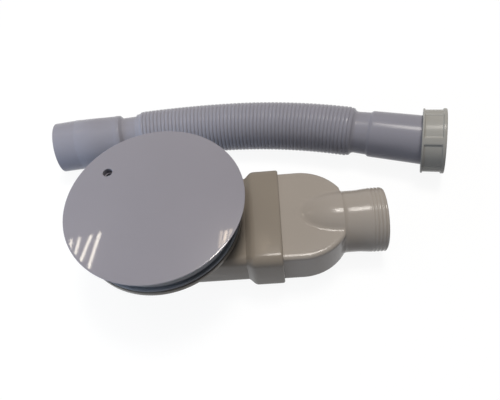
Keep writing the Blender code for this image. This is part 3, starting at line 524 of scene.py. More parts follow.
def lathe(name, outline, sides, sharp=35):
    """Turns a closed (radius, height) outline once around Z."""
    turns = full_turn(sides)
    ring = np.stack([np.cos(turns), np.sin(turns), np.zeros(sides)], -1)
    up = np.array((0, 0, 1.0))
    return skin(name, [max(radius, 0.0) * ring + height * up for radius, height in outline], sharp)


def loft(name, sections, sharp=30):
    """Skins open sections with flat end caps."""
    bm = bmesh.new()
    rings = [[bm.verts.new(point) for point in section] for section in sections]
    for near, far in zip(rings, rings[1:]):
        for index in range(len(near)):
            after = (index + 1) % len(near)
            bm.faces.new((near[index], near[after], far[after], far[index]))
    bm.faces.new(rings[0])
    bm.faces.new(rings[-1])
    bmesh.ops.recalc_face_normals(bm, faces=bm.faces)
    made = add_mesh(name, bm)
    shade(made.data, sharp)
    return made


def block(name, size, centre, turn=0.0, soften=0.0):
    """A block with softened edges, turned about Z."""
    bm = bmesh.new()
    bmesh.ops.create_cube(bm, size=1.0)
    bmesh.ops.scale(bm, vec=size, verts=bm.verts)
    if soften:
        bmesh.ops.bevel(bm, geom=list(bm.edges), offset=soften, segments=3, profile=0.5,
                        affect="EDGES", clamp_overlap=True)
    bmesh.ops.rotate(bm, cent=(0, 0, 0), verts=bm.verts, matrix=Matrix.Rotation(turn, 3, "Z"))
    bmesh.ops.translate(bm, verts=bm.verts, vec=centre)
    return add_mesh(name, bm)


def combine(target, other, operation, sharp=35):
    """Joins or cuts two solids with an exact Boolean and removes the second one."""
    step = target.modifiers.new(operation.lower(), "BOOLEAN")
    step.operation = operation
    step.solver = "EXACT"
    step.object = other
    bpy.context.view_layer.update()
    graph = bpy.context.evaluated_depsgraph_get()
    result = bpy.data.meshes.new_from_object(target.evaluated_get(graph))
    target.modifiers.clear()
    used = target.data
    target.data = result
    bpy.data.meshes.remove(used)
    bpy.data.objects.remove(other, do_unlink=True)
    result.name = target.name
    shade(result, sharp)


def moved(item, x, y):
    """Shifts a solid's mesh along the floor."""
    item.data.transform(Matrix.Translation((x, y, 0)))
    return item


def around(count, radius, first_angle=0.0):
    """Evenly spaced places on a circle, as (x, y)."""
    turns = [first_angle + math.tau * step / count for step in range(count)]
    return [(radius * math.cos(turn), radius * math.sin(turn)) for turn in turns]


SCREW_PLACES = around(4, SCREW_CIRCLE_RADIUS, math.pi / 4)
PEG_PLACES = around(4, PEG_CIRCLE_RADIUS)


def smooth_step(value, low, high):
    """Rises smoothly from zero at the first value to one at the second."""
    share = np.clip((value - low) / (high - low), 0.0, 1.0)
    return share * share * (3 - 2 * share)


def dress(item, surface, body, *nodes):
    """Gives a piece its surface and its body, and lets it stand for CAD nodes."""
    item.data.materials.clear()
    item.data.materials.append(surface)
    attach(item, body)
    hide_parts(*nodes)


# Cover


def dome_height(radius):
    """Height of the cover's upper face at a distance from its middle."""
    return COVER_EDGE_Z + COVER_DOME * (1.0 - min(radius / COVER_RADIUS, 1.0) ** 2)


def build_cover():
    inner = COVER_RADIUS - COVER_WALL
    steps = 40
    top = [(COVER_RADIUS * step / steps, dome_height(COVER_RADIUS * step / steps), 0)
           for step in range(steps)]
    under = [(inner * step / steps, dome_height(inner * step / steps) - COVER_WALL, 0)
             for step in range(steps - 1, -1, -1)]
    outline = rounded(top + [
        (COVER_RADIUS, COVER_EDGE_Z, 0.35 * MM),
        (COVER_RADIUS - COVER_EDGE_DRAW, COVER_LOW_Z, 0.4 * MM),
        (inner, COVER_LOW_Z, 0.5 * MM),
        (inner, dome_height(inner) - COVER_WALL, 0.8 * MM),
    ] + under, 6)
    shell = lathe("cover_shell", outline, 224, COVER_SHARP)

    # Four pegs, each on a thicker root that ends just clear of the strainer's tube
    shoulder = TUBE_TOP_Z + GAP
    root = dome_height(PEG_CIRCLE_RADIUS) - 0.5 * COVER_WALL
    for x, y in PEG_PLACES:
        peg = lathe("peg", rounded([
            (0, shoulder - PEG_LENGTH, 0), (PEG_RADIUS, shoulder - PEG_LENGTH, 0.7 * MM),
            (PEG_RADIUS, shoulder, 0.2 * MM), (TUBE_RADIUS, shoulder, 0.3 * MM),
            (TUBE_RADIUS, root, 0), (0, root, 0)]), 32)
        combine(shell, moved(peg, x, y), "UNION", COVER_SHARP)

    # Finger hole: a short sleeve, bored with a soft rim and a ledge inside
    x, y = HOLE_FROM_CENTRE * math.cos(HOLE_ANGLE), HOLE_FROM_CENTRE * math.sin(HOLE_ANGLE)
    top_z = dome_height(HOLE_FROM_CENTRE)
    sleeve_low, sleeve_high = top_z - HOLE_SLEEVE_LENGTH, top_z - 0.6 * COVER_WALL
    sleeve_radius = HOLE_RADIUS + HOLE_SLEEVE_WALL
    sleeve = lathe("sleeve", rounded([
        (0, sleeve_low, 0), (sleeve_radius, sleeve_low, 0.3 * MM),
        (sleeve_radius, sleeve_high, 0), (0, sleeve_high, 0)]), 48)
    combine(shell, moved(sleeve, x, y), "UNION", COVER_SHARP)
    cutter = lathe("hole", [
        (0, sleeve_low - CUT_PAST), (HOLE_LOW_RADIUS, sleeve_low - CUT_PAST),
        (HOLE_LOW_RADIUS, top_z - HOLE_LEDGE_DEPTH), (HOLE_RADIUS, top_z - HOLE_LEDGE_DEPTH),
        (HOLE_RADIUS, top_z - 0.45 * MM),
        (HOLE_RADIUS + 0.10 * MM, top_z - 0.2 * MM), (HOLE_RADIUS + 0.4 * MM, top_z + 0.05 * MM),
        (HOLE_RADIUS + 0.5 * MM, top_z + CUT_PAST), (0, top_z + CUT_PAST)], 48)
    combine(shell, moved(cutter, x, y), "DIFFERENCE", COVER_SHARP)
    dress(shell, LILAC, "cover", "cover")


# Trap body


def duct_ring(grow, x, edge_round=DUCT_EDGE_ROUND, steps=8):
    """The duct's rounded outline across X, grown evenly on all sides."""
    rounding = edge_round + grow
    half = DUCT_HALF_WIDTH + grow - rounding
    low, high = DUCT_BOTTOM_Z - grow + rounding, DUCT_TOP_Z + grow - rounding
    corners = ((half, high, 0.0), (-half, high, 0.5), (-half, low, 1.0), (half, low, 1.5))
    ring = []
    for y, z, first in corners:
        for step in range(steps + 1):
            turn = math.pi * (first + 0.5 * step / steps)
            ring.append((x, y + rounding * math.cos(turn), z + rounding * math.sin(turn)))
    return ring


def socket_band():
    """The wider collar at the duct's end: sloped shoulder, soft edges."""
    steps = [(out, SOCKET_START_X + along * MM) for out, along in SOCKET_SHOULDER]
    steps += [(out, SOCKET_END_X - along * MM) for out, along in SOCKET_REAR]
    full_round = SOCKET_OUTER_ROUND - SOCKET_GROW
    sections = []
    for out, x in steps:
        out = min(out * MM, SOCKET_GROW)
        edge_round = DUCT_OUTER_ROUND + (full_round - DUCT_OUTER_ROUND) * out / SOCKET_GROW
        sections.append(duct_ring(out, x, edge_round))
    return loft("socket_band", sections)


def build_body():
    sharp = 30
    mouth = MOUTH_RADIUS + POT_WALL
    body = lathe("pot_and_duct", rounded([
        (0, 0, 0), (27.0 * MM, 0, 0.6 * MM), (29.4 * MM, 0.9 * MM, 1.5 * MM),
        (31.0 * MM, 3.4 * MM, 3.0 * MM), (34.9 * MM, 16.0 * MM, 8.0 * MM),
        (mouth, POT_SHOULDER_Z, 4.0 * MM), (mouth, FLANGE_BOTTOM_Z, 0.8 * MM),
        (FLANGE_RADIUS, FLANGE_BOTTOM_Z, 0.5 * MM), (FLANGE_RADIUS, FLANGE_TOP_Z, 0.5 * MM),
        (0, FLANGE_TOP_Z, 0)], 5), 128, sharp)
    duct = loft("duct", [duct_ring(0, 0, DUCT_OUTER_ROUND),
                         duct_ring(0, SOCKET_START_X + CUT_PAST, DUCT_OUTER_ROUND)])
    combine(body, duct, "UNION", sharp)
    combine(body, socket_band(), "UNION", sharp)
    for x, y in SCREW_PLACES:
        boss = lathe("boss", rounded([
            (0, DUCT_TOP_Z - CUT_PAST, 0), (BOSS_RADIUS, DUCT_TOP_Z - CUT_PAST, 0.4 * MM),
            (BOSS_RADIUS, FLANGE_BOTTOM_Z + CUT_PAST, 0),
            (0, FLANGE_BOTTOM_Z + CUT_PAST, 0)]), 32)
        combine(body, moved(boss, x, y), "UNION", sharp)

    # The way of the water: pot, duct, the weir's window between them, socket
    inside = lathe("pot_inside", rounded([
        (0, POT_FLOOR_Z, 0), (26.6 * MM, POT_FLOOR_Z, 2.0 * MM), (28.5 * MM, 4.2 * MM, 2.0 * MM),
        (32.4 * MM, 16.0 * MM, 6.0 * MM), (MOUTH_RADIUS, POT_SHOULDER_Z, 2.0 * MM),
        (MOUTH_RADIUS, FLANGE_TOP_Z + CUT_PAST, 0), (0, FLANGE_TOP_Z + CUT_PAST, 0)], 4), 96)
    combine(body, inside, "DIFFERENCE", sharp)
    way = loft("duct_inside", [duct_ring(-DUCT_WALL, DUCT_INSIDE_X),
                               duct_ring(-DUCT_WALL, BOX_START_X + CUT_PAST)])
    combine(body, way, "DIFFERENCE", sharp)
    combine(body, block("window", WEIR_SIZE, WEIR_CENTRE, soften=WEIR_ROUND), "DIFFERENCE", sharp)
    socket = loft("socket_inside", [duct_ring(GAP, BOX_START_X - GAP, BOX_EDGE_ROUND),
                                    duct_ring(GAP, SOCKET_END_X + CUT_PAST, BOX_EDGE_ROUND)])
    combine(body, socket, "DIFFERENCE", sharp)

    low, high = INSERT_HOLE_Z
    for x, y in SCREW_PLACES:
        hole = lathe("insert_hole", [(0, low), (INSERT_HOLE_RADIUS, low),
                                     (INSERT_HOLE_RADIUS, high), (0, high)], 24)
        combine(body, moved(hole, x, y), "DIFFERENCE", sharp)
    dress(body, BODY_WARM, "trap", "trap_body")


# Outlet adaptor: flat box and spigot as one smooth skin around the spigot's axis


def smooth_least(a, b, blend):
    """The lesser of two distances, rounded where they meet."""
    share = np.clip(0.5 + 0.5 * (b - a) / blend, 0.0, 1.0)
    return b + (a - b) * share - blend * share * (1.0 - share)


def box_distance(x, y, z, inset, rounding):
    """Signed distance to the flat box with its half-round end."""
    half = DUCT_HALF_WIDTH - inset
    past = np.maximum(x - BOX_ROUND_END_X, 0.0)
    plan = np.hypot(past, y) - half
    middle = (DUCT_TOP_Z + DUCT_BOTTOM_Z) / 2
    upright = np.abs(z - middle) - ((DUCT_TOP_Z - DUCT_BOTTOM_Z) / 2 - inset)
    a, b = plan + rounding, upright + rounding
    return np.minimum(np.maximum(a, b), 0.0) + np.hypot(
        np.maximum(a, 0.0), np.maximum(b, 0.0)) - rounding


def outlet_skin(xs, turns, nose_radius, nose_length, inset, rounding, blend):
    """Distance from the spigot's axis to the skin, for each place along X and each turn.

    The skin is the box blended with an elliptical nose, found by halving the interval.
    """
    x = np.asarray(xs)[:, None]
    into = np.clip((SPIGOT_NOSE_X - x) / nose_length, 0.0, 1.0)
    nose = np.where(into < 1.0, nose_radius * np.sqrt(np.maximum(1.0 - into ** 2, 0.0)), 0.0)
    low = np.zeros((len(xs), len(turns)))
    high = np.full_like(low, SEARCH_RADIUS)
    for _ in range(SEARCH_STEPS):
        out = (low + high) / 2
        y, z = out * np.cos(turns), SPIGOT_AXIS_Z + out * np.sin(turns)
        gone = smooth_least(box_distance(x, y, z, inset, rounding), out - nose, blend) > 0
        high = np.where(gone, out, high)
        low = np.where(gone, low, out)
    return (low + high) / 2


def thread_wave(along, turns):
    """One for a crest and zero for a root of the thread.

    The crests wind left-handed. Taking the turns away instead would wind them right-handed,
    as the real ones are.
    """
    wave = np.cos(math.tau * along / THREAD_PITCH + turns)
    return np.clip(0.5 + 0.75 * wave, 0.0, 1.0)


def outlet_rings(xs, radii, turns):
    """Rings about the spigot's axis."""
    xs = np.asarray(xs)[:, None]
    return np.stack([np.broadcast_to(xs, radii.shape), radii * np.cos(turns),
                     SPIGOT_AXIS_Z + radii * np.sin(turns)], -1)


def build_adaptor():
    turns = full_turn(264)
    end = SPIGOT_PROFILE[-1][0]

    # Rings lie far apart on the flat box and close together where the nose swells out of it
    box_x = np.concatenate([
        [BOX_START_X, BOX_START_X + BOX_BEVEL],
        np.arange(62.0, 87.0, 3.0) * MM,
        np.arange(88.0, 100.0, 0.9) * MM,
        np.arange(100.0, 115.2, 0.5) * MM,
    ])
    outer = outlet_skin(box_x, turns, SPIGOT_RADIUS + SPIGOT_SHROUD, SPIGOT_NOSE_LENGTH, 0.0,
                        BOX_EDGE_ROUND, NOSE_BLEND)
    outer[0] -= BOX_BEVEL

    # The spigot, with rings close enough to draw the thread
    round_x = np.array([115.6, 115.8, 116.0, 118.0, 121.0, 124.0,
                        *np.arange(126.0, 142.61, 0.21), 142.7, end]) * MM
    places, radii = np.array(SPIGOT_PROFILE).T * MM
    base = np.interp(round_x, places, radii)
    depth = THREAD_DEPTH * smooth_step(round_x, THREAD_START_X - THREAD_RUN_OUT,
                                       THREAD_START_X + THREAD_PITCH)
    wave = thread_wave(round_x[:, None], turns)
    threaded = base[:, None] - depth[:, None] * (1.0 - wave)
    threaded[-2] = np.minimum(threaded[-2], SPIGOT_END_RADII[0])
    threaded[-1] = SPIGOT_END_RADII[1]

    # Back through the inside, from the spigot's mouth
    inner_x = np.array([*np.arange(end, 115.0, -3.0), *np.arange(115.0, 84.0, -1.2),
                        *np.arange(84.0, 60.0, -3.0), 59.9]) * MM
    inner = outlet_skin(inner_x, turns, SPIGOT_BORE, SPIGOT_NOSE_LENGTH - BOX_WALL, BOX_WALL,
                        BOX_INNER_ROUND, INNER_BLEND)
    inner[0] += BOX_BEVEL
    rings = np.concatenate([
        outlet_rings(box_x, outer, turns),
        outlet_rings(round_x, threaded, turns),
        outlet_rings(inner_x, inner, turns),
    ])
    dress(skin("outlet_box_and_spigot", rings, 50), WARM, "trap", "outlet_adaptor")


# Flexible pipe


def pipe_direction(distance):
    """The pipe's direction at each distance along its middle line."""
    into = np.clip(distance - BEND_START, 0.0, BEND_LENGTH)
    half = BEND_LENGTH / 2
    turn = np.minimum(into, half) / BEND_RADII[0] + np.maximum(into - half, 0) / BEND_RADII[1]
    heading = PIPE_HEADING - turn
    pitch = PIPE_PITCHES[0] + (PIPE_PITCHES[1] - PIPE_PITCHES[0]) * into / BEND_LENGTH
    return np.stack([np.cos(heading) * np.cos(pitch), np.sin(heading) * np.cos(pitch),
                     np.sin(pitch)], -1)


def pipe_path():
    """The middle line in short steps, as (distances, points, directions)."""
    count = int(round((PIPE_LENGTH + PATH_SPARE) / PATH_STEP)) + 1
    distances = np.arange(count) * PATH_STEP
    steps = pipe_direction(distances[:-1] + PATH_STEP / 2) * PATH_STEP
    points = np.vstack([PIPE_START, PIPE_START + np.cumsum(steps, axis=0)])
    return distances, points, pipe_direction(distances)


PATH = pipe_path()


def on_pipe(profile):
    """Rings about the pipe's middle line, from rows of (distance, radius)."""
    at, radii = np.array(profile).T
    distances, points, directions = PATH
    centre = np.stack([np.interp(at, distances, points[:, axis]) for axis in range(3)], -1)
    along = np.stack([np.interp(at, distances, directions[:, axis]) for axis in range(3)], -1)
    along /= np.linalg.norm(along, axis=1)[:, None]
    side = np.cross((0.0, 0.0, 1.0), along)
    side /= np.linalg.norm(side, axis=1)[:, None]
    up = np.cross(along, side)
    turns = full_turn(PIPE_SIDES)[None, :, None]
    return centre[:, None] + radii[:, None, None] * (
        np.cos(turns) * side[:, None] + np.sin(turns) * up[:, None])


def ridge_profile(samples):
    """Broad crests and narrow grooves, lower at both ends, as (distance, radius)."""
    profile = []
    for ridge in range(RIDGE_COUNT):
        start = RIDGES_FROM + (ridge + RIDGE_FIRST) * RIDGE_PITCH
        for sample in range(samples):
            phase = sample / samples
            height = 0.5 - 0.5 * math.cos(math.tau * phase)
            at = start + phase * RIDGE_PITCH
            from_end = min(at - RIDGES_FROM, RIDGES_TO - at)
            ease = max(0.0, 1.0 - from_end / RIDGE_END_ROUND) ** 2 * RIDGE_END_DROP
            profile.append((at, RIDGE_RADIUS - ease - RIDGE_DEPTH * (1.0 - height) ** RIDGE_SHAPE))
    return profile


def near(at, radius, offsets):
    """Points of a profile, given in mm from one place and one radius."""
    return [(at + along * MM, radius + out * MM) for along, out in offsets]


def build_pipe():
    plain_end = PLAIN_RADIUS - PLAIN_TAPER
    first_groove = RIDGES_FROM + RIDGE_FIRST * RIDGE_PITCH

    # Tapered plain end with a faint bead, step down to the neck, and ridges
    outside = rounded([
        (0, PLAIN_RADIUS, 0.6 * MM),
        (33.4 * MM, PLAIN_RADIUS - 1.45 * MM, 0),
        (33.9 * MM, PLAIN_RADIUS - 1.54 * MM, 0),
        (45.0 * MM, plain_end + 0.20 * MM, 1.0 * MM),
        (47.0 * MM, plain_end + 0.30 * MM, 1.0 * MM),
        (PLAIN_END - 0.9 * MM, plain_end + 0.1 * MM, 1.0 * MM),
        (PLAIN_END + 1.3 * MM, NECK_RADIUS + 0.1 * MM, 0.9 * MM),
        (RIDGES_FROM - 2.0 * MM, NECK_RADIUS + 0.1 * MM, 1.6 * MM),
        (first_groove - 0.3 * RIDGE_PITCH, RIDGE_RADIUS - RIDGE_DEPTH - 1.0 * MM, 0.8 * MM),
    ])
    outside = [point for point in outside if point[0] < first_groove - 0.1 * MM]
    outside += ridge_profile(14)

    # Narrow neck, cuff and end collar
    cuff_end = CUFF_RADIUS + CUFF_FLARE
    collar_at = PIPE_LENGTH - COLLAR_THICKNESS
    outside += near(RIDGES_TO, NECK_RADIUS, [(-0.4, 0.75), (0.2, 0.35), (0.9, 0.1), (1.7, 0),
                                             (2.2, 0)])
    outside += near(CUFF_FROM, NECK_RADIUS, [(-1.1, 0.32), (-0.6, 0.34), (0, 0.55)])
    outside += near(CUFF_FROM, CUFF_RADIUS, [(0.6, -0.50), (1.2, -0.12), (2.0, 0), (3.0, 0.04)])
    outside += near(collar_at, cuff_end, [(-1.0, -0.03), (-0.3, -0.02), (0, 0.3)])
    outside += near(collar_at, COLLAR_RADIUS, [(0, -0.3), (0.3, 0)])
    outside += near(PIPE_LENGTH, COLLAR_RADIUS, [(-0.3, 0), (0, -0.3)])

    # Back along the bore
    neck_bore = NECK_RADIUS - PIPE_WALL
    inside = [
        (PIPE_LENGTH, cuff_end - PIPE_WALL), (CUFF_FROM + 1.6 * MM, CUFF_RADIUS - PIPE_WALL),
        (CUFF_FROM, neck_bore), (RIDGES_TO, neck_bore),
    ]
    inside += [(at, radius - PIPE_WALL) for at, radius in reversed(ridge_profile(4))]
    inside += [
        (RIDGES_FROM, neck_bore), (PLAIN_END + 1.6 * MM, neck_bore),
        (PLAIN_END, plain_end - PIPE_WALL), (0.5 * MM, PLAIN_RADIUS - PIPE_WALL),
        (0, PLAIN_RADIUS - PIPE_WALL + 0.4 * MM),
    ]
    pipe = skin("corrugated_pipe", on_pipe(outside + inside), 50)
    dress(pipe, PIPE_LILAC, "trap", "flexible_pipe")


def build_washer():
    start = PIPE_LENGTH + GAP
    end = start + WASHER_THICKNESS
    section = rounded([(start, WASHER_BORE, 0.3 * MM), (start, WASHER_RADIUS, 0.3 * MM),
                       (end, WASHER_RADIUS, 0.3 * MM), (end, WASHER_BORE, 0.3 * MM)])
    dress(skin("nut_washer", on_pipe(section)), RUBBER, "trap", "coupling_washer")


# Coupling nut


def nut_surface(at, turns):
    """The nut's outer radius: rims, recessed barrel and gripping ribs."""
    at = at[:, None]
    front = NUT_LENGTH - NUT_FRONT_RIM
    rim = np.maximum(1.0 - smooth_step(at, NUT_BACK_RIM - 0.1 * MM, NUT_BACK_RIM + 0.5 * MM),
                     smooth_step(at, front - 0.5 * MM, front + 0.1 * MM))
    spacing = math.tau / NUT_RIBS
    off = np.abs((turns - NUT_RIB_ANGLE + spacing / 2) % spacing - spacing / 2) * NUT_RADIUS
    rib = NUT_RIB_SHARE * (1.0 - smooth_step(off, NUT_RIB_HALF_WIDTH - 0.1 * MM,
                                             NUT_RIB_HALF_WIDTH + 0.5 * MM))
    out = NUT_RADIUS - NUT_RECESS * (1.0 - np.maximum(rim, rib))
    soft = np.clip(np.minimum(at, NUT_LENGTH - at) / NUT_EDGE_ROUND, 0.0, 1.0)
    return out - NUT_EDGE_ROUND * (1.0 - np.sqrt(np.maximum(1.0 - (1.0 - soft) ** 2, 0.0)))


def build_nut():
    turns = full_turn(216)

    # Rings lie close together at the rounded edges and where a rim drops to the recess
    outer_at = np.array([
        0.0, 0.05, 0.15, 0.35, 0.7, 1.1, 1.2, 1.35, 1.5, 1.65, 1.8, 2.2,
        *np.arange(3.2, 13.0, 1.4),
        13.1, 13.3, 13.45, 13.6, 13.8, 14.2, 14.8, 15.3, 15.65, 15.85, 15.95, 16.0]) * MM
    outer = nut_surface(outer_at, turns)

    # The bore from the front: thread, then a step down to the lip behind the cuff's collar
    inner_at = np.array([16.0, 15.6, 15.2, *np.arange(14.9, 5.2, -0.28),
                         4.6, 3.0, 3.0, 0.4, 0.0]) * MM
    bore = np.interp(inner_at, np.array([0, 0.4, 3.0, 3.01, 15.2, 16.0]) * MM,
                     np.array([18.7, 18.4, 18.4, 20.0, 20.0, 20.5]) * MM)
    depth = NUT_THREAD_DEPTH * (smooth_step(inner_at, 4.6 * MM, 6.6 * MM) *
                                (1.0 - smooth_step(inner_at, 14.9 * MM, 15.6 * MM)))
    inner = bore[:, None] + depth[:, None] * (1.0 - thread_wave(inner_at[:, None], turns))
    step = len(inner_at) - 4
    inner[step] = NUT_BORE
    inner[step + 1] = NUT_LIP_BORE

    at = np.concatenate([outer_at, inner_at])
    radii = np.concatenate([outer, inner])
    along = np.array((math.cos(NUT_HEADING) * math.cos(NUT_PITCH),
                      math.sin(NUT_HEADING) * math.cos(NUT_PITCH), math.sin(NUT_PITCH)))
    side = np.cross((0.0, 0.0, 1.0), along)
    side /= np.linalg.norm(side)
    up = np.cross(along, side)
    rings = (NUT_REAR + at[:, None, None] * along + radii[..., None] * (
        np.cos(turns)[None, :, None] * side + np.sin(turns)[None, :, None] * up))
    dress(skin("ribbed_nut", rings, 45), NUT_WARM, "nut", "coupling_nut")


# Gaskets, clamping flange, screws and inserts


def build_gasket(name, outer, bottom):
    top = bottom + GASKET_THICKNESS
    ring = lathe(name + "_ring", rounded([
        (MOUTH_RADIUS, bottom, 0.2 * MM), (outer, bottom, 0.6 * MM),
        (outer, top, 1.2 * MM), (MOUTH_RADIUS, top, 0.2 * MM)]), 128)
    for x, y in SCREW_PLACES:
        hole = lathe("hole", [
            (0, bottom - CUT_PAST), (GASKET_HOLE_RADIUS, bottom - CUT_PAST),
            (GASKET_HOLE_RADIUS, top + CUT_PAST), (0, top + CUT_PAST)], 24)
        combine(ring, moved(hole, x, y), "DIFFERENCE")
    dress(ring, RUBBER, "trap", name)


def build_clamp():
    sleeve = MOUTH_RADIUS - GAP
    ring = lathe("clamp_ring", rounded([
        (CLAMP_BORE, CLAMP_SEAT_Z, 0.3 * MM), (CLAMP_SEAT_BORE, CLAMP_SEAT_Z, 0.3 * MM),
        (CLAMP_SEAT_BORE, CLAMP_SLEEVE_Z, 0.3 * MM), (sleeve, CLAMP_SLEEVE_Z, 0.5 * MM),
        (sleeve, CLAMP_BOTTOM_Z, 0.1 * MM), (CLAMP_RADIUS, CLAMP_BOTTOM_Z, 0.3 * MM),
        (CLAMP_RADIUS, CLAMP_TOP_Z, 0.7 * MM), (CLAMP_RADIUS - 1.6 * MM, CLAMP_TOP_Z, 0.5 * MM),
        (CLAMP_BORE + 1.6 * MM, CLAMP_TOP_Z - 1.0 * MM, 1.2 * MM),
        (CLAMP_BORE, CLAMP_TOP_Z - 2.4 * MM, 0.6 * MM)]), 128)
    low, high = CLAMP_BOTTOM_Z - CUT_PAST, CLAMP_TOP_Z + CUT_PAST
    for x, y in SCREW_PLACES:
        hole = lathe("hole", [
            (0, low), (SCREW_HOLE_RADIUS, low),
            (SCREW_HOLE_RADIUS, SCREW_TOP_Z - SCREW_HEAD_DEPTH),
            (SCREW_HEAD_HOLE_RADIUS, SCREW_TOP_Z - GAP), (SCREW_HEAD_HOLE_RADIUS, high),
            (0, high)], 32)
        combine(ring, moved(hole, x, y), "DIFFERENCE")
    dress(ring, GREY, "trap", "upper_flange")


def build_screw(number, x, y):
    screw = lathe(f"screw_{number}", rounded([
        (0, SCREW_TIP_Z, 0), (SCREW_RADIUS, SCREW_TIP_Z, 0.5 * MM),
        (SCREW_RADIUS, SCREW_TOP_Z - SCREW_HEAD_DEPTH, 0.2 * MM),
        (SCREW_HEAD_RADIUS, SCREW_TOP_Z - 0.3 * MM, 0.1 * MM),
        (SCREW_HEAD_RADIUS, SCREW_TOP_Z, 0.15 * MM), (0, SCREW_TOP_Z, 0)], 3), 40)
    for turn in (RECESS_ANGLE, RECESS_ANGLE + math.pi / 2):
        recess = block("recess", RECESS_SIZE, (0, 0, SCREW_TOP_Z), turn, RECESS_ROUND)
        combine(screw, recess, "DIFFERENCE", 30)
    dress(moved(screw, x, y), STEEL, "trap", f"flange_screw_{number}")


def build_insert(number, x, y):
    bottom, top = INSERT_Z
    outline = [(INSERT_BORE, bottom), (INSERT_EDGE_RADIUS, bottom),
               (INSERT_RADIUS, bottom + 0.2 * MM)]
    for step in range(INSERT_GROOVES):
        low = bottom + (0.5 + 0.7 * step) * MM
        outline += [(INSERT_RADIUS, low), (INSERT_GROOVE_RADIUS, low + 0.15 * MM),
                    (INSERT_GROOVE_RADIUS, low + 0.3 * MM), (INSERT_RADIUS, low + 0.45 * MM)]
    outline += [(INSERT_RADIUS, top - 0.1 * MM), (INSERT_EDGE_RADIUS, top), (INSERT_BORE, top)]
    insert = lathe(f"insert_{number}", outline, 40)
    dress(moved(insert, x, y), BRASS, "trap", f"brass_insert_{number}")


# Cup, its ring and strainer


def build_cup():
    groove = CUP_RADIUS - SEAL_GROOVE_DEPTH
    groove_low, groove_high = SEAL_GROOVE_Z
    basin = groove - CUP_WALL
    bore = DIP_TUBE_RADIUS - CUP_WALL
    floor = CUP_BOTTOM_Z + CUP_WALL
    ledge = STRAINER_Z - GAP
    cup = lathe("cup", rounded([
        (bore, DIP_TUBE_LOW_Z, 0.5 * MM), (DIP_TUBE_RADIUS, DIP_TUBE_LOW_Z, 0.5 * MM),
        (DIP_TUBE_RADIUS, CUP_BOTTOM_Z, 1.8 * MM), (CUP_RADIUS, CUP_BOTTOM_Z, 0.5 * MM),
        (CUP_RADIUS, groove_low, 0.15 * MM), (groove, groove_low, 0.2 * MM),
        (groove, groove_high, 0.2 * MM), (CUP_RADIUS, groove_high, 0.15 * MM),
        (CUP_RADIUS, CUP_TOP_Z, 0.5 * MM), (CUP_RADIUS - CUP_WALL, CUP_TOP_Z, 0.4 * MM),
        (CUP_RADIUS - CUP_WALL, ledge, 0.2 * MM), (basin, ledge, 0.2 * MM),
        (basin, floor, 1.8 * MM), (bore, floor, 1.8 * MM)]), 112)
    dress(cup, GREY, "cup", "dip_cup")


def build_seal():
    middle = CUP_RADIUS - SEAL_SUNK
    section = [(middle + SEAL_CORD_RADIUS * math.cos(turn),
                SEAL_Z + SEAL_CORD_RADIUS * math.sin(turn))
               for turn in (math.tau * step / 12 for step in range(12))]
    dress(lathe("seal_ring", section, 96, 60), RUBBER, "cup", "cup_seal")


def build_strainer():
    disc = lathe("strainer_disc", rounded([
        (0, STRAINER_Z, 0), (STRAINER_RADIUS, STRAINER_Z, 0.3 * MM),
        (STRAINER_RADIUS, STRAINER_TOP_Z, 0.4 * MM), (0, STRAINER_TOP_Z, 0)]), 96)
    root = STRAINER_Z + 0.9 * MM
    for x, y in PEG_PLACES:
        stub = lathe("stub", rounded([
            (0, root, 0), (TUBE_RADIUS, root, 0), (TUBE_RADIUS, TUBE_TOP_Z, 0.4 * MM),
            (0, TUBE_TOP_Z, 0)]), 40)
        combine(disc, moved(stub, x, y), "UNION")
    low, high = STRAINER_Z - CUT_PAST, TUBE_TOP_Z + CUT_PAST
    for x, y in PEG_PLACES:
        bore = lathe("bore", [
            (0, low), (TUBE_BORE, low), (TUBE_BORE, TUBE_TOP_Z - 0.3 * MM),
            (TUBE_MOUTH_BORE, TUBE_TOP_Z + 0.2 * MM), (TUBE_MOUTH_BORE, high), (0, high)], 32)
        combine(disc, moved(bore, x, y), "DIFFERENCE")
    for step in range(SLOTS_ROUND):
        turn = math.tau * (step + 0.5) / SLOTS_ROUND
        centre = (SLOT_CIRCLE_RADIUS * math.cos(turn), SLOT_CIRCLE_RADIUS * math.sin(turn),
                  STRAINER_Z)
        combine(disc, block("slot", SLOT_SIZE, centre, turn, SLOT_ROUND), "DIFFERENCE")
    dress(disc, GREY, "cup", "hair_strainer")


# Floor, light and camera


def seen_directly(nodes, links):
    """One for rays from the camera, from a glossy surface or through a clear one."""
    ray = nodes.new("ShaderNodeLightPath")
    total = ray.outputs["Is Camera Ray"]
    for kind in ("Is Glossy Ray", "Is Transmission Ray"):
        larger = nodes.new("ShaderNodeMath")
        larger.operation = "MAXIMUM"
        links.new(total, larger.inputs[0])
        links.new(ray.outputs[kind], larger.inputs[1])
        total = larger.outputs["Value"]
    return total


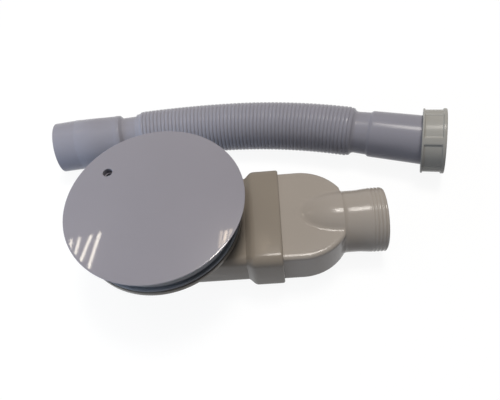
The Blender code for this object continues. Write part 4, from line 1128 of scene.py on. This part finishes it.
def build_stage():
    """A wide pale floor that keeps the object's shadow and looks white to the camera."""
    bm = bmesh.new()
    bmesh.ops.create_grid(bm, x_segments=2, y_segments=2, size=FLOOR_HALF)
    floor = add_mesh("floor", bm)
    floor.location = (0, 0, -FLOOR_DROP)
    made = bpy.data.materials.new("floor_white")
    made.use_nodes = True
    nodes, links = made.node_tree.nodes, made.node_tree.links
    nodes.clear()
    out = nodes.new("ShaderNodeOutputMaterial")
    mix = nodes.new("ShaderNodeMixShader")
    matt = nodes.new("ShaderNodeBsdfDiffuse")
    glow = nodes.new("ShaderNodeEmission")
    glow.inputs["Color"].default_value = (1, 1, 1, 1)
    seen = seen_directly(nodes, links)
    links.new(tinted(nodes, links, seen, FLOOR_UNSEEN, FLOOR_SEEN), matt.inputs["Color"])
    share = nodes.new("ShaderNodeMath")
    share.operation = "MULTIPLY"
    share.inputs[1].default_value = FLOOR_GLOW
    links.new(seen, share.inputs[0])
    links.new(share.outputs["Value"], mix.inputs["Fac"])
    links.new(matt.outputs["BSDF"], mix.inputs[1])
    links.new(glow.outputs["Emission"], mix.inputs[2])
    links.new(mix.outputs["Shader"], out.inputs["Surface"])
    floor.data.materials.append(made)


def build_world():
    """Dim cool light from all round, and plain white for whatever sees the background."""
    world = bpy.data.worlds.new("studio")
    bpy.context.scene.world = world
    world.use_nodes = True
    nodes, links = world.node_tree.nodes, world.node_tree.links
    nodes.clear()
    out = nodes.new("ShaderNodeOutputWorld")
    room = nodes.new("ShaderNodeBackground")
    room.inputs["Color"].default_value = (*ROOM_COLOUR, 1)
    room.inputs["Strength"].default_value = ROOM_STRENGTH
    white = nodes.new("ShaderNodeBackground")
    white.inputs["Color"].default_value = (1, 1, 1, 1)
    mix = nodes.new("ShaderNodeMixShader")
    links.new(seen_directly(nodes, links), mix.inputs["Fac"])
    links.new(room.outputs["Background"], mix.inputs[1])
    links.new(white.outputs["Background"], mix.inputs[2])
    links.new(mix.outputs["Shader"], out.inputs["Surface"])


def lamp(name, place, target, size, power, colour):
    """A rectangular lamp aimed at a point."""
    data = bpy.data.lights.new(name, "AREA")
    data.shape = "RECTANGLE"
    data.size, data.size_y = size
    data.energy = power
    data.color = colour
    made = add(name, data)
    made.location = place
    made.rotation_mode = "QUATERNION"
    made.rotation_quaternion = (Vector(target) - Vector(place)).to_track_quat("-Z", "Y")
    return made


def strip_lamp(name, start, end, power, colour):
    """A narrow bright strip from one point to another, turned to face the cover."""
    start, end = Vector(start), Vector(end)
    place = (start + end) / 2
    target = Vector((0, 0, COVER_EDGE_Z))
    made = lamp(name, place, target, ((end - start).length, STRIP_WIDTH), power, colour)
    facing = (place - target).normalized()
    along = (end - start).normalized()
    along = (along - facing * along.dot(facing)).normalized()
    turned = Matrix((along, facing.cross(along), facing)).transposed()
    made.rotation_quaternion = turned.to_quaternion()


def build_lights():
    for name, place, target, size, power, colour, reflected in SOFT_LAMPS:
        lamp(name, place, target, size, power, colour).visible_glossy = reflected
    for number, (start, end, power, colour) in enumerate(STRIPS, 1):
        strip_lamp(f"tube_{number}", start, end, power, colour)


def build_camera():
    """The photograph's viewpoint, from the fitted focal length, place and angles."""
    yaw, pitch, roll = CAMERA_YAW, CAMERA_PITCH, CAMERA_ROLL
    ahead = Vector((-math.sin(yaw) * math.cos(pitch), math.cos(yaw) * math.cos(pitch),
                    -math.sin(pitch)))
    right = Vector((math.cos(yaw), math.sin(yaw), 0))
    up = right.cross(ahead)
    turned = math.cos(roll) * right + math.sin(roll) * up
    upward = -math.sin(roll) * right + math.cos(roll) * up
    data = bpy.data.cameras.new("camera")
    data.sensor_fit = "HORIZONTAL"
    data.sensor_width = CAMERA_SENSOR_MM
    data.lens = data.sensor_width * FOCAL_PX / WIDTH_PX
    data.clip_start, data.clip_end = 0.01, 20.0
    matrix = Matrix((turned, upward, -ahead)).transposed().to_4x4()
    matrix.translation = Vector(CAMERA_PLACE_MM) * MM
    made = add("camera", data)
    made.matrix_world = matrix
    bpy.context.scene.camera = made


build_camera()
build_world()
build_lights()
build_stage()
build_body()
build_adaptor()
build_gasket("lower_gasket", *LOWER_GASKET)
build_gasket("upper_gasket", *UPPER_GASKET)
build_clamp()
for number, (x, y) in enumerate(SCREW_PLACES, 1):
    build_insert(number, x, y)
    build_screw(number, x, y)
build_cup()
build_seal()
build_strainer()
build_cover()
build_pipe()
build_nut()
build_washer()

bpy.context.scene.view_settings.view_transform = "Standard"
